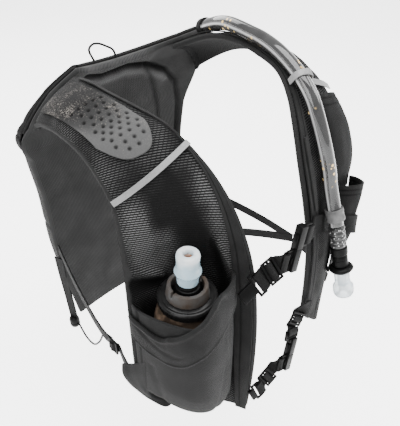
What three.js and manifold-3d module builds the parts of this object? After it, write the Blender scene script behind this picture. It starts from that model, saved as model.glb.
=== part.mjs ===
// Running hydration vest: an open torso garment of a slim back bag, two shoulder panels with
// pockets, a soft flask, a drinking hose and adjustable straps. Millimetres, +Z up, front at -Y,
// the wearer's left at +X. The origin is on the shoulder line, midway between the panels.

import * as THREE from 'three';
import { mergeVertices } from 'three/addons/utils/BufferGeometryUtils.js';
import Module from 'manifold-3d';

const wasm = await Module();
wasm.setup();

// Driving sizes of the garment.
const halfWidth = 120; // middle of the body to the arm edge of a shoulder panel
const frontReach = 125; // shoulder line forward to the front of the panels
const backReach = 100; // shoulder line back to the middle of the back panel
const vestHeight = 285; // shoulder line down to the lower edge
const panelThickness = 5; // padded mesh of the shoulder panels
const backThickness = 6; // padded back panel
const clothWall = 1.6; // stretch cloth of pockets and bag
const tapeThickness = 1.1; // binding tape and reflective strips
const seamGap = 0.4; // clearance between pieces that are sewn or rest together
const bagDepth = 30; // greatest depth of the bag behind the back panel
const bagMouth = 13; // open slot between back panel and bag along the top
const backBow = 8; // how far the middle of the back stands behind its sides
const collarDip = 7; // how far the collar line sinks at its middle
const foldDepth = 3; // relief of the folds in the upper back lining
const panelCrown = 25; // greatest dish or crown of a shoulder panel

// Driving sizes of what the vest carries.
const flaskRadius = 26.5;
const flaskLength = 100;
const flaskClearance = 3.8; // between flask and the panel or pocket around it
const capRadius = 23.8;
const lockRingRadius = 15.8;
const hoseRadius = 6.4;
const chestWebWidth = 17; // upper chest strap
const waistWebWidth = 13; // lower chest strap
const webThickness = 1;
const sideWebWidth = 9;
const cordRadius = 1;
const barSize = 2; // bars of sliders and buckles
const barHeight = 2; // thickness of sliders

const vector = (x, y, z) => new THREE.Vector3(x, y, z);
const lerp = THREE.MathUtils.lerp;
const radians = THREE.MathUtils.degToRad;

// Materials, one for each finish.
const finish = (color, roughness, extra = {}) =>
  new THREE.MeshStandardMaterial({ color, roughness, metalness: 0, ...extra });
const finishes = {
  mesh: finish(0x3a3a3c, 0.9),
  lining: finish(0x3c3c3d, 0.85),
  shell: finish(0x2c2c2d, 0.85),
  stretch: finish(0x39393b, 0.8),
  patch: finish(0x57524f, 0.8),
  binding: finish(0x454547, 0.8),
  reflective: finish(0xa0a0a0, 0.4),
  webbing: finish(0x1a1a1a, 0.75),
  plastic: finish(0x141414, 0.35),
  cap: finish(0x2b2a2a, 0.25),
  silicone: finish(0xc4d6df, 0.3),
  flask: finish(0x8a837c, 0.35),
  hose: finish(0x8f9294, 0.12),
};

const vest = new THREE.Group();

function addPiece(name, geometry, material) {
  const piece = new THREE.Mesh(geometry, material);
  piece.name = name;
  vest.add(piece);
  return piece;
}

// Turns a triangle list into a geometry whose faces point out.
function solidGeometry(points, triangles) {
  let volume = 0;
  for (const [a, b, c] of triangles) {
    volume += points[a].dot(points[b].clone().cross(points[c]));
  }
  const index = triangles.flatMap(([a, b, c]) => (volume < 0 ? [a, c, b] : [a, b, c]));
  const geometry = new THREE.BufferGeometry();
  geometry.setAttribute(
    'position',
    new THREE.Float32BufferAttribute(points.flatMap((p) => p.toArray()), 3),
  );
  geometry.setIndex(index);
  return geometry;
}

// Joins rings of equal length into a closed body, with end caps in strips from one half of a
// ring to the other.
function loftRings(rings) {
  const size = rings[0].length;
  const points = rings.flat();
  const triangles = [];
  for (let r = 0; r + 1 < rings.length; r += 1) {
    for (let k = 0; k < size; k += 1) {
      const a = r * size + k;
      const b = r * size + ((k + 1) % size);
      triangles.push([a, b, b + size], [a, b + size, a + size]);
    }
  }
  const last = (rings.length - 1) * size;
  for (let k = 0; k + 1 < size / 2; k += 1) {
    const near = [k, k + 1, size - 2 - k, size - 1 - k];
    const [a, b, c, d] = near;
    triangles.push([a, c, b], [last + a, last + b, last + c]);
    if (d !== c) {
      triangles.push([a, d, c], [last + a, last + c, last + d]);
    }
  }
  return solidGeometry(points, triangles);
}

// A cloth sheet: at(u, v) gives its middle surface for u and v from 0 to 1, facing is the
// sign that turns du x dv outward, and adjust may move the points of a row.
function clothSheet({ at, columns, rows, thickness, facing = 1, adjust = null, outer = null }) {
  const reach = 0.01;
  const normalAt = (u, v) => {
    const du = at(Math.min(u + reach, 1), v).sub(at(Math.max(u - reach, 0), v));
    const dv = at(u, Math.min(v + reach, 1)).sub(at(u, Math.max(v - reach, 0)));
    return du.cross(dv).normalize().multiplyScalar(facing);
  };
  const rings = [];
  for (let j = 0; j <= rows; j += 1) {
    const front = [];
    const back = [];
    for (let i = 0; i <= columns; i += 1) {
      const [u, v] = [i / columns, j / rows];
      const middle = at(u, v);
      const normal = normalAt(u, v);
      const lift = outer ? outer(u, v) : 0;
      front.push(middle.clone().addScaledVector(normal, thickness / 2 + lift));
      back.push(middle.clone().addScaledVector(normal, -thickness / 2));
    }
    const ring = [...front, ...back.reverse()];
    rings.push(adjust ? ring.map((point) => adjust(point, j)) : ring);
  }
  return loftRings(rings);
}

// A flat strap along a path, with its width along the given side directions.
function strapGeometry(path, sides, width, thickness) {
  const rings = path.map((point, k) => {
    const before = path[Math.max(k - 1, 0)];
    const after = path[Math.min(k + 1, path.length - 1)];
    const side = (sides[k] ?? sides[0]).clone().normalize();
    const normal = after.clone().sub(before).cross(side).normalize();
    const corner = (a, b) => point.clone()
      .addScaledVector(side, (a * width) / 2)
      .addScaledVector(normal, (b * thickness) / 2);
    return [corner(-1, -1), corner(1, -1), corner(1, 1), corner(-1, 1)];
  });
  return loftRings(rings);
}

// A round cord or hose: a regular section carried along a smooth curve.
function tubeGeometry(points, radius, facets, steps) {
  const section = new THREE.Shape();
  for (let k = 0; k < facets; k += 1) {
    const angle = (2 * Math.PI * k) / facets;
    const [x, y] = [radius * Math.cos(angle), radius * Math.sin(angle)];
    if (k === 0) section.moveTo(x, y);
    else section.lineTo(x, y);
  }
  section.closePath();
  const extrudePath = new THREE.CatmullRomCurve3(points, false, 'centripetal');
  return new THREE.ExtrudeGeometry(section, { steps, extrudePath, bevelEnabled: false });
}

// A turned piece: profile rows of radius and height, starting and ending on the axis or
// closing on itself, set on a point with its axis along a direction.
function turnedGeometry(profile, facets, base, axis) {
  const outline = profile.map(([radius, height]) => new THREE.Vector2(radius, height));
  const geometry = new THREE.LatheGeometry(outline, facets);
  geometry.rotateX(Math.PI / 2);
  const turn = new THREE.Quaternion().setFromUnitVectors(vector(0, 0, 1), axis);
  geometry.applyQuaternion(turn);
  geometry.translate(base.x, base.y, base.z);
  return geometry;
}

// Boolean help: geometry to solid and back.
function toSolid(geometry) {
  const bare = geometry.clone();
  bare.deleteAttribute('normal');
  bare.deleteAttribute('uv');
  const merged = mergeVertices(bare, 1e-4);
  const mesh = new wasm.Mesh({
    numProp: 3,
    vertProperties: new Float32Array(merged.attributes.position.array),
    triVerts: new Uint32Array(merged.index.array),
  });
  return new wasm.Manifold(mesh);
}

function fromSolid(solid) {
  const mesh = solid.getMesh();
  const geometry = new THREE.BufferGeometry();
  geometry.setAttribute('position', new THREE.BufferAttribute(mesh.vertProperties, 3));
  geometry.setIndex(new THREE.BufferAttribute(mesh.triVerts, 1));
  return geometry;
}

// Smooth reading of one column of a table, with v from 0 at the first row to 1 at the last.
function columnReader(rows, name) {
  const curve = new THREE.CatmullRomCurve3(rows.map((row) => vector(row[name], 0, 0)));
  return (v) => curve.getPoint(THREE.MathUtils.clamp(v, 0, 1)).x;
}

// Back panel, from collar to lower edge: drop is a share of vestHeight, right and left (the
// half widths, which hang unevenly) of halfWidth and depth of backReach; slot is the share of
// bagMouth and bag the share of bagDepth there.
const backRows = [
  { drop: 0.016, right: 0.46, left: 0.72, depth: 0.72, slot: 0.5, bag: 0.02 },
  { drop: 0.085, right: 0.66, left: 0.77, depth: 0.81, slot: 0.5, bag: 0.12 },
  { drop: 0.185, right: 0.83, left: 0.725, depth: 0.87, slot: 0.5, bag: 0.35 },
  { drop: 0.3, right: 0.83, left: 0.635, depth: 0.93, slot: 0.2, bag: 0.75 },
  { drop: 0.48, right: 0.76, left: 0.6, depth: 0.95, slot: 0, bag: 0.95 },
  { drop: 0.68, right: 0.73, left: 0.63, depth: 0.93, slot: 0, bag: 1 },
  { drop: 0.85, right: 0.685, left: 0.66, depth: 0.89, slot: 0, bag: 0.8 },
  { drop: 0.985, right: 0.63, left: 0.61, depth: 0.85, slot: 0, bag: 0.25 },
];
const backColumn = Object.fromEntries(
  ['drop', 'right', 'left', 'depth', 'slot', 'bag'].map((name) => [name, columnReader(backRows, name)]),
);

function backLevel(v) {
  return {
    z: -backColumn.drop(v) * vestHeight,
    right: backColumn.right(v) * halfWidth,
    left: backColumn.left(v) * halfWidth,
    depth: backColumn.depth(v) * backReach,
  };
}

const collarFade = 6; // the dip of the collar line dies out this quickly down the back
const halfAt = (level, x) => (x < 0 ? level.right : level.left);

function backPoint(x, v) {
  const level = backLevel(v);
  const bow = Math.max(1 - (x / halfAt(level, x)) ** 2, 0);
  const dip = collarDip * bow * (1 - v) ** collarFade;
  return vector(x, level.depth + backBow * bow, level.z - dip);
}

function levelOfHeight(x, z) {
  let [low, high] = [0, 1];
  for (let k = 0; k < 30; k += 1) {
    const middle = (low + high) / 2;
    if (backPoint(x, middle).z > z) low = middle;
    else high = middle;
  }
  return (low + high) / 2;
}

// Distance along Y from the middle of the back panel to its face, which grows as it slopes.
function backHalfDepth(x, v) {
  const reach = 0.01;
  const below = backPoint(x, Math.min(v + reach, 1));
  const above = backPoint(x, Math.max(v - reach, 0));
  const slope = (below.y - above.y) / (below.z - above.z);
  const level = backLevel(v);
  const turn = (-2 * backBow * x) / halfAt(level, x) ** 2;
  return (backThickness / 2) * Math.sqrt(1 + slope * slope + turn * turn);
}

function backFrontFace(x, z) {
  const v = levelOfHeight(x, z);
  return backPoint(x, v).y - backHalfDepth(x, v);
}

// Folds pressed into the upper lining: each runs from one place to another on the panel, x as
// a share of halfWidth and drop as a share of vestHeight, with its depth as a share of foldDepth.
const liningFolds = [
  { fromX: -0.32, fromDrop: 0.1, toX: 0.06, toDrop: 0.06, depth: 1 },
  { fromX: 0.06, fromDrop: 0.06, toX: 0.42, toDrop: 0.1, depth: 1 },
  { fromX: 0.42, fromDrop: 0.1, toX: 0.58, toDrop: 0.24, depth: 0.9 },
  { fromX: 0.58, fromDrop: 0.24, toX: 0.6, toDrop: 0.4, depth: 0.6 },
  { fromX: 0.1, fromDrop: 0.08, toX: 0.26, toDrop: 0.2, depth: 0.7 },
];
const foldWidth = 9;

function foldRelief(x, z) {
  let relief = 0;
  for (const fold of liningFolds) {
    const start = new THREE.Vector2(fold.fromX * halfWidth, -fold.fromDrop * vestHeight);
    const end = new THREE.Vector2(fold.toX * halfWidth, -fold.toDrop * vestHeight);
    const span = end.clone().sub(start);
    const offset = new THREE.Vector2(x, z).sub(start);
    const share = THREE.MathUtils.clamp(offset.dot(span) / span.lengthSq(), 0, 1);
    const distance = offset.sub(span.multiplyScalar(share)).length();
    const groove = Math.exp(-((distance / foldWidth) ** 2)) * fold.depth * foldDepth;
    relief = Math.max(relief, groove);
  }
  return relief;
}

const backSheet = (u, v) => {
  const level = backLevel(v);
  return backPoint((2 * u - 1) * (u < 0.5 ? level.right : level.left), v);
};
addPiece('back_panel', clothSheet({
  at: backSheet,
  columns: 14,
  rows: 14,
  thickness: backThickness,
  facing: -1,
  outer: (u, v) => -foldRelief(backSheet(u, v).x, backSheet(u, v).z),
}), finishes.lining);

// Bag shell behind the back panel: open along the top, its side walls stand off the panel.
const bagSquareness = 0.4;
const bagInset = 1.5; // bag edge inside the edge of the back panel

function bagPoint(u, v) {
  const angle = Math.PI * u;
  const [c, s] = [-Math.cos(angle), Math.sin(angle)];
  const half = halfAt(backLevel(v), c) - bagInset;
  const x = Math.sign(c) * half * Math.abs(c) ** bagSquareness;
  const rise = backColumn.slot(v) * bagMouth + backColumn.bag(v) * bagDepth * Math.abs(s) ** bagSquareness;
  const base = backPoint(x, v);
  const seat = backHalfDepth(x, v) + seamGap;
  return base.add(vector(0, seat + Math.max(rise, 0), 0));
}
addPiece('pack_shell', clothSheet({
  at: bagPoint, columns: 14, rows: 11, thickness: clothWall, facing: -1,
}), finishes.shell);

// Bound rim of the bag's mouth: up the near corner, over the collar and down the far corner.
const rimWidth = 9;
const rimDepth = 3.6;
const rimCorner = 0.31; // share of the back's rows where the rim ends at each side

function rimGeometry() {
  const stations = [];
  const steps = 6;
  for (let k = 0; k < steps; k += 1) stations.push([0, rimCorner * (1 - k / steps)]);
  for (let k = 0; k <= 2 * steps; k += 1) stations.push([k / (2 * steps), 0]);
  for (let k = 1; k <= steps; k += 1) stations.push([1, (rimCorner * k) / steps]);
  const path = stations.map(([u, v]) => bagPoint(u, v));
  const outward = path.map((point, k) => {
    const before = path[Math.max(k - 1, 0)];
    const after = path[Math.min(k + 1, path.length - 1)];
    const flat = vector(-(after.z - before.z), 0, after.x - before.x).normalize();
    const [here, below] = [backPoint(point.x, stations[k][1]), backPoint(point.x, stations[k][1] + 0.02)];
    const inner = backPoint(point.x * 0.96, stations[k][1]);
    const across = Math.abs(point.x) > 1 ? (inner.y - here.y) / (inner.x - here.x) : 0;
    flat.y = flat.x * across + (flat.z * (below.y - here.y)) / (below.z - here.z);
    return flat.normalize();
  });
  const centres = path.map((point, k) => point.clone()
    .add(vector(0, -(clothWall / 2 + 2 * seamGap + rimDepth / 2), 0))
    .addScaledVector(outward[k], clothWall - rimWidth / 2));
  return strapGeometry(centres, outward, rimWidth, rimDepth);
}
addPiece('pack_rim', rimGeometry(), finishes.shell);

// Shoulder panels: neck edge and arm edge of each section. x is a share of halfWidth, y of
// frontReach when forward (positive) or of backReach when behind (negative), drop of
// vestHeight, and crown of panelCrown. The first section is sewn to the back panel.
const rightRows = [
  { neckX: 0.5, neckY: -0.74, neckDrop: 0.035, armX: 0.8, armY: -0.84, armDrop: 0.17, crown: 0.1 },
  { neckX: 0.545, neckY: -0.32, neckDrop: 0.005, armX: 0.89, armY: -0.47, armDrop: 0.1, crown: 0.25 },
  { neckX: 0.56, neckY: -0.05, neckDrop: 0.002, armX: 0.95, armY: -0.1, armDrop: 0.06, crown: 0.3 },
  { neckX: 0.5, neckY: 0.18, neckDrop: 0.018, armX: 0.96, armY: 0.16, armDrop: 0.067, crown: 0.25 },
  { neckX: 0.45, neckY: 0.39, neckDrop: 0.039, armX: 0.96, armY: 0.3, armDrop: 0.095, crown: 0.25 },
  { neckX: 0.385, neckY: 0.62, neckDrop: 0.1, armX: 0.955, armY: 0.45, armDrop: 0.158, crown: 0.1 },
  { neckX: 0.34, neckY: 0.79, neckDrop: 0.18, armX: 0.97, armY: 0.535, armDrop: 0.24, crown: -0.1 },
  { neckX: 0.285, neckY: 0.89, neckDrop: 0.287, armX: 0.99, armY: 0.59, armDrop: 0.328, crown: -0.42 },
  { neckX: 0.24, neckY: 0.95, neckDrop: 0.41, armX: 1.01, armY: 0.635, armDrop: 0.43, crown: -0.8 },
  { neckX: 0.21, neckY: 0.98, neckDrop: 0.6, armX: 1.01, armY: 0.65, armDrop: 0.56, crown: -1 },
  { neckX: 0.215, neckY: 0.985, neckDrop: 0.8, armX: 1, armY: 0.65, armDrop: 0.69, crown: -0.95 },
  { neckX: 0.235, neckY: 0.96, neckDrop: 0.995, armX: 0.97, armY: 0.64, armDrop: 0.81, crown: -0.2 },
];
const leftRows = [
  { neckX: 0.42, neckY: -0.74, neckDrop: 0.045, armX: 0.7, armY: -0.84, armDrop: 0.16, crown: 0.35 },
  { neckX: 0.49, neckY: -0.32, neckDrop: -0.03, armX: 0.86, armY: -0.45, armDrop: 0.065, crown: 0.12 },
  { neckX: 0.52, neckY: -0.05, neckDrop: -0.045, armX: 0.93, armY: -0.1, armDrop: 0.045, crown: 0.15 },
  { neckX: 0.505, neckY: 0.22, neckDrop: -0.038, armX: 0.93, armY: 0.15, armDrop: 0.045, crown: 0.25 },
  { neckX: 0.475, neckY: 0.43, neckDrop: -0.02, armX: 0.92, armY: 0.34, armDrop: 0.055, crown: 0.25 },
  { neckX: 0.4, neckY: 0.605, neckDrop: 0.02, armX: 0.93, armY: 0.49, armDrop: 0.1, crown: 0.2 },
  { neckX: 0.33, neckY: 0.735, neckDrop: 0.085, armX: 0.965, armY: 0.59, armDrop: 0.17, crown: 0.15 },
  { neckX: 0.305, neckY: 0.825, neckDrop: 0.182, armX: 1, armY: 0.67, armDrop: 0.26, crown: 0.1 },
  { neckX: 0.32, neckY: 0.895, neckDrop: 0.31, armX: 0.985, armY: 0.715, armDrop: 0.385, crown: 0.05 },
  { neckX: 0.34, neckY: 0.94, neckDrop: 0.44, armX: 0.93, armY: 0.75, armDrop: 0.525, crown: 0.1 },
  { neckX: 0.365, neckY: 0.94, neckDrop: 0.6, armX: 0.81, armY: 0.775, armDrop: 0.7, crown: 0.2 },
  { neckX: 0.41, neckY: 0.9, neckDrop: 0.775, armX: 0.73, armY: 0.8, armDrop: 0.915, crown: 0.1 },
];

const depthOf = (share) => (share > 0 ? -share * frontReach : -share * backReach);

function makePanel(rows, side) {
  const edgeCurve = (prefix) => new THREE.CatmullRomCurve3(rows.map((row) => vector(
    side * row[`${prefix}X`] * halfWidth,
    depthOf(row[`${prefix}Y`]),
    -row[`${prefix}Drop`] * vestHeight,
  )), false, 'centripetal');
  const neck = edgeCurve('neck');
  const arm = edgeCurve('arm');
  const crown = columnReader(rows, 'crown');
  const reach = 0.01;
  const flat = (s, t) => neck.getPoint(t).lerp(arm.getPoint(t), s);
  const chordNormal = (t) => {
    const ahead = flat(0.5, Math.min(t + reach, 1)).sub(flat(0.5, Math.max(t - reach, 0)));
    return arm.getPoint(t).sub(neck.getPoint(t)).cross(ahead).normalize().multiplyScalar(-side);
  };
  const dish = (s, t) => crown(t) * panelCrown * 4 * s * (1 - s);
  const chord = (s, t, height) => flat(s, t).addScaledVector(chordNormal(t), height);
  const at = (s, t) => chord(s, t, dish(s, t));
  const normal = (s, t) => {
    const across = at(Math.min(s + reach, 1), t).sub(at(Math.max(s - reach, 0), t));
    const along = at(s, Math.min(t + reach, 1)).sub(at(s, Math.max(t - reach, 0)));
    return across.cross(along).normalize().multiplyScalar(-side);
  };
  const place = (s, t, height) => at(s, t).addScaledVector(normal(s, t), height);
  const along = (s, t) => at(s, Math.min(t + reach, 1)).sub(at(s, Math.max(t - reach, 0))).normalize();
  const across = (s, t) => at(Math.min(s + reach, 1), t).sub(at(Math.max(s - reach, 0), t)).normalize();
  return { side, dish, chord, at, normal, place, along, across };
}

const panels = { right: makePanel(rightRows, -1), left: makePanel(leftRows, 1) };
const panelColumns = 8;
const panelSteps = 22;
const sewnRows = 2; // rows of a panel that stay clear of the back panel

for (const [name, panel] of Object.entries(panels)) {
  const sewToBack = (point, row) => {
    if (row > sewnRows) return point;
    const face = backFrontFace(point.x, point.z) - seamGap;
    point.y = row === 0 ? face : Math.min(point.y, face - seamGap);
    return point;
  };
  addPiece(`strap_${name}`, clothSheet({
    at: (u, v) => panel.at(u, v),
    columns: panelColumns,
    rows: panelSteps,
    thickness: panelThickness,
    facing: -panel.side,
    adjust: sewToBack,
  }), finishes.mesh);
}

// A sheet laid on a panel between two shares across it and two along it.
const restHeight = (thickness) => panelThickness / 2 + seamGap + thickness / 2;

function laidSheet(panel, { across, along, columns, rows, thickness, rise = () => 0 }) {
  return clothSheet({
    at: (u, v) => {
      const t = lerp(...along(u), v);
      const s = lerp(...across(v), u);
      return panel.place(s, t, restHeight(thickness) + rise(u, v));
    },
    columns,
    rows,
    thickness,
    facing: -panel.side,
  });
}

// Binding tape on the neck edge: narrow over the shoulder, wide down the front.
const bindingWidths = [
  { share: 0.05 }, { share: 0.06 }, { share: 0.08 }, { share: 0.12 }, { share: 0.12 }, { share: 0.11 },
];
const bindingShare = columnReader(bindingWidths, 'share');
const bindingStart = 1 / panelSteps;
const bindingLift = 0.5; // keeps the tape clear of the panel's twist
for (const [name, panel] of Object.entries(panels)) {
  addPiece(`binding_${name}`, laidSheet(panel, {
    across: (v) => [0.005, bindingShare(v)],
    along: () => [bindingStart, 1],
    columns: 1,
    rows: panelSteps - 1,
    thickness: tapeThickness,
    rise: (u, v) => bindingLift * (1 + 2.6 * v * v),
  }), finishes.binding);
}

// Perforated patch on the right shoulder: an outline in shares across and along the panel, and
// staggered rows of small openings through it.
const patchThickness = 1.4;
const patchLift = 0.8; // keeps the patch clear of the panel's crown
const patchShape = { neck: 0.17, arm: 0.83, start: 0.06, end: 0.392, round: 0.07 };
const openingRadius = 1.25;
const openingPitch = 6.9;
const openingSides = 5;
const openingStart = 0.185; // share along the panel where the openings begin

function patchGeometry(panel) {
  const endRound = (u) => patchShape.round * (Math.abs(2 * u - 1) ** 3);
  const sheet = laidSheet(panel, {
    across: () => [patchShape.neck, patchShape.arm],
    along: (u) => [patchShape.start, patchShape.end - endRound(u)],
    columns: 5,
    rows: 7,
    thickness: patchThickness,
    rise: () => patchLift,
  });
  const middle = (patchShape.neck + patchShape.arm) / 2;
  const middleT = (openingStart + patchShape.end) / 2;
  const width = panel.at(patchShape.neck, middleT).distanceTo(panel.at(patchShape.arm, middleT));
  const length = panel.at(middle, openingStart).distanceTo(panel.at(middle, patchShape.end));
  const margin = openingPitch * 0.55;
  const rowPitch = openingPitch * 0.86;
  const rows = Math.floor((length - 2 * margin) / rowPitch) + 1;
  const cutters = [];
  for (let row = 0; row < rows; row += 1) {
    const along = margin + row * rowPitch;
    const t = lerp(openingStart, patchShape.end, along / length);
    const shift = row % 2 ? openingPitch / 2 : 0;
    const pinch = row >= rows - 2 ? openingPitch * (row - rows + 3) * 0.6 : 0;
    const start = margin + shift + pinch;
    for (let x = start; x <= width - margin - pinch; x += openingPitch) {
      const s = lerp(patchShape.neck, patchShape.arm, x / width);
      const cutter = new THREE.CylinderGeometry(
        openingRadius, openingRadius, patchThickness * 5, openingSides,
      );
      const turn = new THREE.Quaternion().setFromUnitVectors(vector(0, 1, 0), panel.normal(s, t));
      const centre = panel.place(s, t, restHeight(patchThickness));
      cutter.applyQuaternion(turn).translate(centre.x, centre.y, centre.z);
      cutters.push(toSolid(cutter));
    }
  }
  return fromSolid(cutters.reduce((solid, cutter) => solid.subtract(cutter), toSolid(sheet)));
}
addPiece('patch_right', patchGeometry(panels.right), finishes.patch);

// Reflective strip across the right panel, from the neck edge to the arm edge.
const stripWidth = 5.5;
const stripLine = { neck: 0.412, arm: 0.462 };
const stripLift = bindingLift + tapeThickness + seamGap;

function stripOnPanel(panel, line, width, lifts) {
  const path = [];
  const sides = [];
  for (let k = 0; k <= panelColumns; k += 1) {
    const s = k / panelColumns;
    const t = lerp(line.neck, line.arm, s);
    path.push(panel.place(s, t, restHeight(tapeThickness) + lifts(s)));
    sides.push(panel.along(s, t));
  }
  return strapGeometry(path, sides, width, tapeThickness);
}
addPiece(
  'reflective_strip_right',
  stripOnPanel(panels.right, stripLine, stripWidth, () => stripLift),
  finishes.reflective,
);

// Flask pocket on the right panel: a cloth shell sewn along both sides and the lower edge.
const flaskSeat = { across: 0.57, along: 0.72 };
const flaskTilt = 4; // degrees that the flask leans forward
const pocketEdges = { arm: 0.985, neck: 0.175, mouth: 0.732, foot: 0.985 };
const mouthDrop = 0.035; // share along the panel that the mouth is lower at the neck side
const flaskHeight = panels.right.dish(flaskSeat.across, flaskSeat.along)
  + panelThickness / 2 + flaskClearance + flaskRadius;
const pocketReach = flaskHeight + flaskRadius + flaskClearance - panelThickness / 2;
const pocketLevels = [
  { reach: 1 }, { reach: 1.01 }, { reach: 0.99 }, { reach: 0.94 }, { reach: 0.9 }, { reach: 0.76 },
  { reach: 0.04 },
];
const pocketReachAt = columnReader(pocketLevels, 'reach');
const pocketFullness = 0.6;

function pocketPoint(panel, edges, reach, u, t, level, lift) {
  const s = lerp(edges.arm, edges.neck, u);
  const swell = Math.sin(Math.PI * u) ** pocketFullness;
  const dish = panel.dish(s, t);
  const height = dish * (1 - swell) + reach * level * swell + restHeight(clothWall) + lift;
  return panel.chord(s, t, height);
}
const mouthAt = (u) => pocketEdges.mouth + mouthDrop * u * u;
const rightPocket = (u, v) => pocketPoint(
  panels.right, pocketEdges, pocketReach, u,
  lerp(mouthAt(u), pocketEdges.foot, v), pocketReachAt(v), seamGap,
);
addPiece('pocket_right', clothSheet({
  at: rightPocket, columns: 12, rows: 8, thickness: clothWall, facing: 1,
}), finishes.stretch);

// Folded cuff around the pocket's mouth, outside it: its upper and lower edge as shares down the
// pocket, from the arm side to the neck side.
const cuffThickness = 2.2;
const cuffEdges = [
  { top: 0.09, low: 0.29 }, { top: 0.09, low: 0.35 }, { top: -0.05, low: 0.2 }, { top: -0.2, low: 0.07 },
  { top: -0.17, low: 0.02 },
];
const cuffReach = 0.93; // share across the pocket where the cuff ends, short of the neck binding
const cuffTop = columnReader(cuffEdges, 'top');
const cuffLow = columnReader(cuffEdges, 'low');
const cuffLift = (clothWall + cuffThickness) / 2 + 2 * seamGap;
addPiece('pocket_cuff_right', clothSheet({
  at: (share, v) => {
    const u = share * cuffReach;
    const level = lerp(cuffTop(u), cuffLow(u), v);
    const reach = 0.01;
    const across = rightPocket(Math.min(u + reach, 1), level)
      .sub(rightPocket(Math.max(u - reach, 0), level));
    const down = rightPocket(u, level + reach).sub(rightPocket(u, level - reach));
    return rightPocket(u, level).addScaledVector(down.cross(across).normalize(), cuffLift);
  },
  columns: 12,
  rows: 4,
  thickness: cuffThickness,
  facing: 1,
}), finishes.stretch);

// Soft flask with its cap, lock ring, valve stem and bite valve, on one leaning axis.
const capHeight = 8;
const lockRingHeight = 10.5;
const capSeat = panels.right.chord(flaskSeat.across, flaskSeat.along, flaskHeight);
const outwardFlat = capSeat.clone().sub(panels.right.chord(flaskSeat.across, flaskSeat.along, 0));
outwardFlat.z = 0;
const flaskAxis = outwardFlat.normalize().multiplyScalar(Math.sin(radians(flaskTilt)));
flaskAxis.z = Math.cos(radians(flaskTilt));
const onFlask = (height) => capSeat.clone().addScaledVector(flaskAxis, height);
const turnedPiece = (profile, facets) => turnedGeometry(profile, facets, capSeat, flaskAxis);

const bodyTop = -capHeight - seamGap;
addPiece('flask_body', turnedPiece([
  [0, bodyTop - flaskLength],
  [flaskRadius - 12, bodyTop - flaskLength],
  [flaskRadius - 5, bodyTop - flaskLength * 0.86],
  [flaskRadius - 0.5, bodyTop - flaskLength * 0.6],
  [flaskRadius, bodyTop - 22],
  [flaskRadius - 2, bodyTop - 9],
  [capRadius - 4, bodyTop],
  [0, bodyTop],
], 16), finishes.flask);
addPiece('flask_cap', turnedPiece([
  [0, -capHeight],
  [capRadius - 1.5, -capHeight],
  [capRadius - 0.5, -capHeight * 0.55],
  [capRadius, -capHeight * 0.35],
  [capRadius - 1.5, 0],
  [0, 0],
], 24), finishes.cap);

const stemRadius = 8.6;
const ringWall = 3;
const ringSlot = 2.2;
function lockRingGeometry() {
  const inner = lockRingRadius - ringWall;
  const ring = toSolid(turnedPiece([
    [inner, seamGap],
    [lockRingRadius + 1.5, seamGap],
    [lockRingRadius, lockRingHeight],
    [inner, lockRingHeight],
    [inner, seamGap],
  ], 20));
  const slot = new THREE.BoxGeometry(4 * lockRingRadius, ringSlot, lockRingHeight);
  const turn = new THREE.Quaternion().setFromUnitVectors(vector(0, 0, 1), flaskAxis);
  const centre = onFlask(lockRingHeight);
  slot.applyQuaternion(turn).translate(centre.x, centre.y, centre.z);
  return fromSolid(ring.subtract(toSolid(slot)));
}
addPiece('flask_lock_ring', lockRingGeometry(), finishes.cap);

const stemTop = 13;
addPiece('flask_valve_stem', turnedPiece([
  [0, seamGap],
  [stemRadius + 3, seamGap],
  [stemRadius, stemTop * 0.7],
  [stemRadius - 1, stemTop],
  [0, stemTop],
], 14), finishes.plastic);

const valveHeight = 29;
const valveRadius = 9.2;
const valveBore = 3.4;
addPiece('flask_bite_valve', turnedPiece([
  [valveBore, stemTop + seamGap],
  [valveRadius - 1.4, stemTop + seamGap],
  [valveRadius, stemTop + valveHeight * 0.36],
  [valveRadius + 1.4, stemTop + valveHeight * 0.42],
  [valveRadius, stemTop + valveHeight * 0.5],
  [valveRadius - 0.3, stemTop + valveHeight * 0.75],
  [valveRadius, stemTop + valveHeight * 0.92],
  [valveRadius - 1.6, stemTop + valveHeight],
  [valveBore, stemTop + valveHeight],
  [valveBore, stemTop + seamGap],
], 14), finishes.silicone);

// Left panel: long zip flap, stretch pocket above and gaping flask pocket below.
const flapWidth = 5;
const flapThickness = 1.6;
const flapLine = { start: 0.575, end: 0.745, from: 0.055, to: 0.09 };
function flapGeometry(panel) {
  const path = [];
  const sides = [];
  const steps = 5;
  for (let k = 0; k <= steps; k += 1) {
    const t = lerp(flapLine.start, flapLine.end, k / steps);
    const s = lerp(flapLine.from, flapLine.to, k / steps);
    path.push(panel.place(s, t, restHeight(flapThickness) + stripLift + seamGap));
    sides.push(panel.across(s, t));
  }
  return strapGeometry(path, sides, flapWidth, flapThickness);
}
addPiece('zip_flap_left', flapGeometry(panels.left), finishes.binding);

const upperPocketReach = 9;
const upperPocketLevels = [{ reach: 0.75 }, { reach: 1 }, { reach: 1 }, { reach: 0.85 }, { reach: 0.05 }];
const upperReachAt = columnReader(upperPocketLevels, 'reach');
const upperPocket = { arm: 0.99, neck: 0.52, mouth: 0.475, foot: 0.7 };
addPiece('pocket_upper_left', clothSheet({
  at: (u, v) => pocketPoint(
    panels.left, upperPocket, upperPocketReach, u,
    lerp(upperPocket.mouth, upperPocket.foot, v), upperReachAt(v), seamGap,
  ),
  columns: 6,
  rows: 6,
  thickness: clothWall,
  facing: -1,
}), finishes.stretch);

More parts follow.
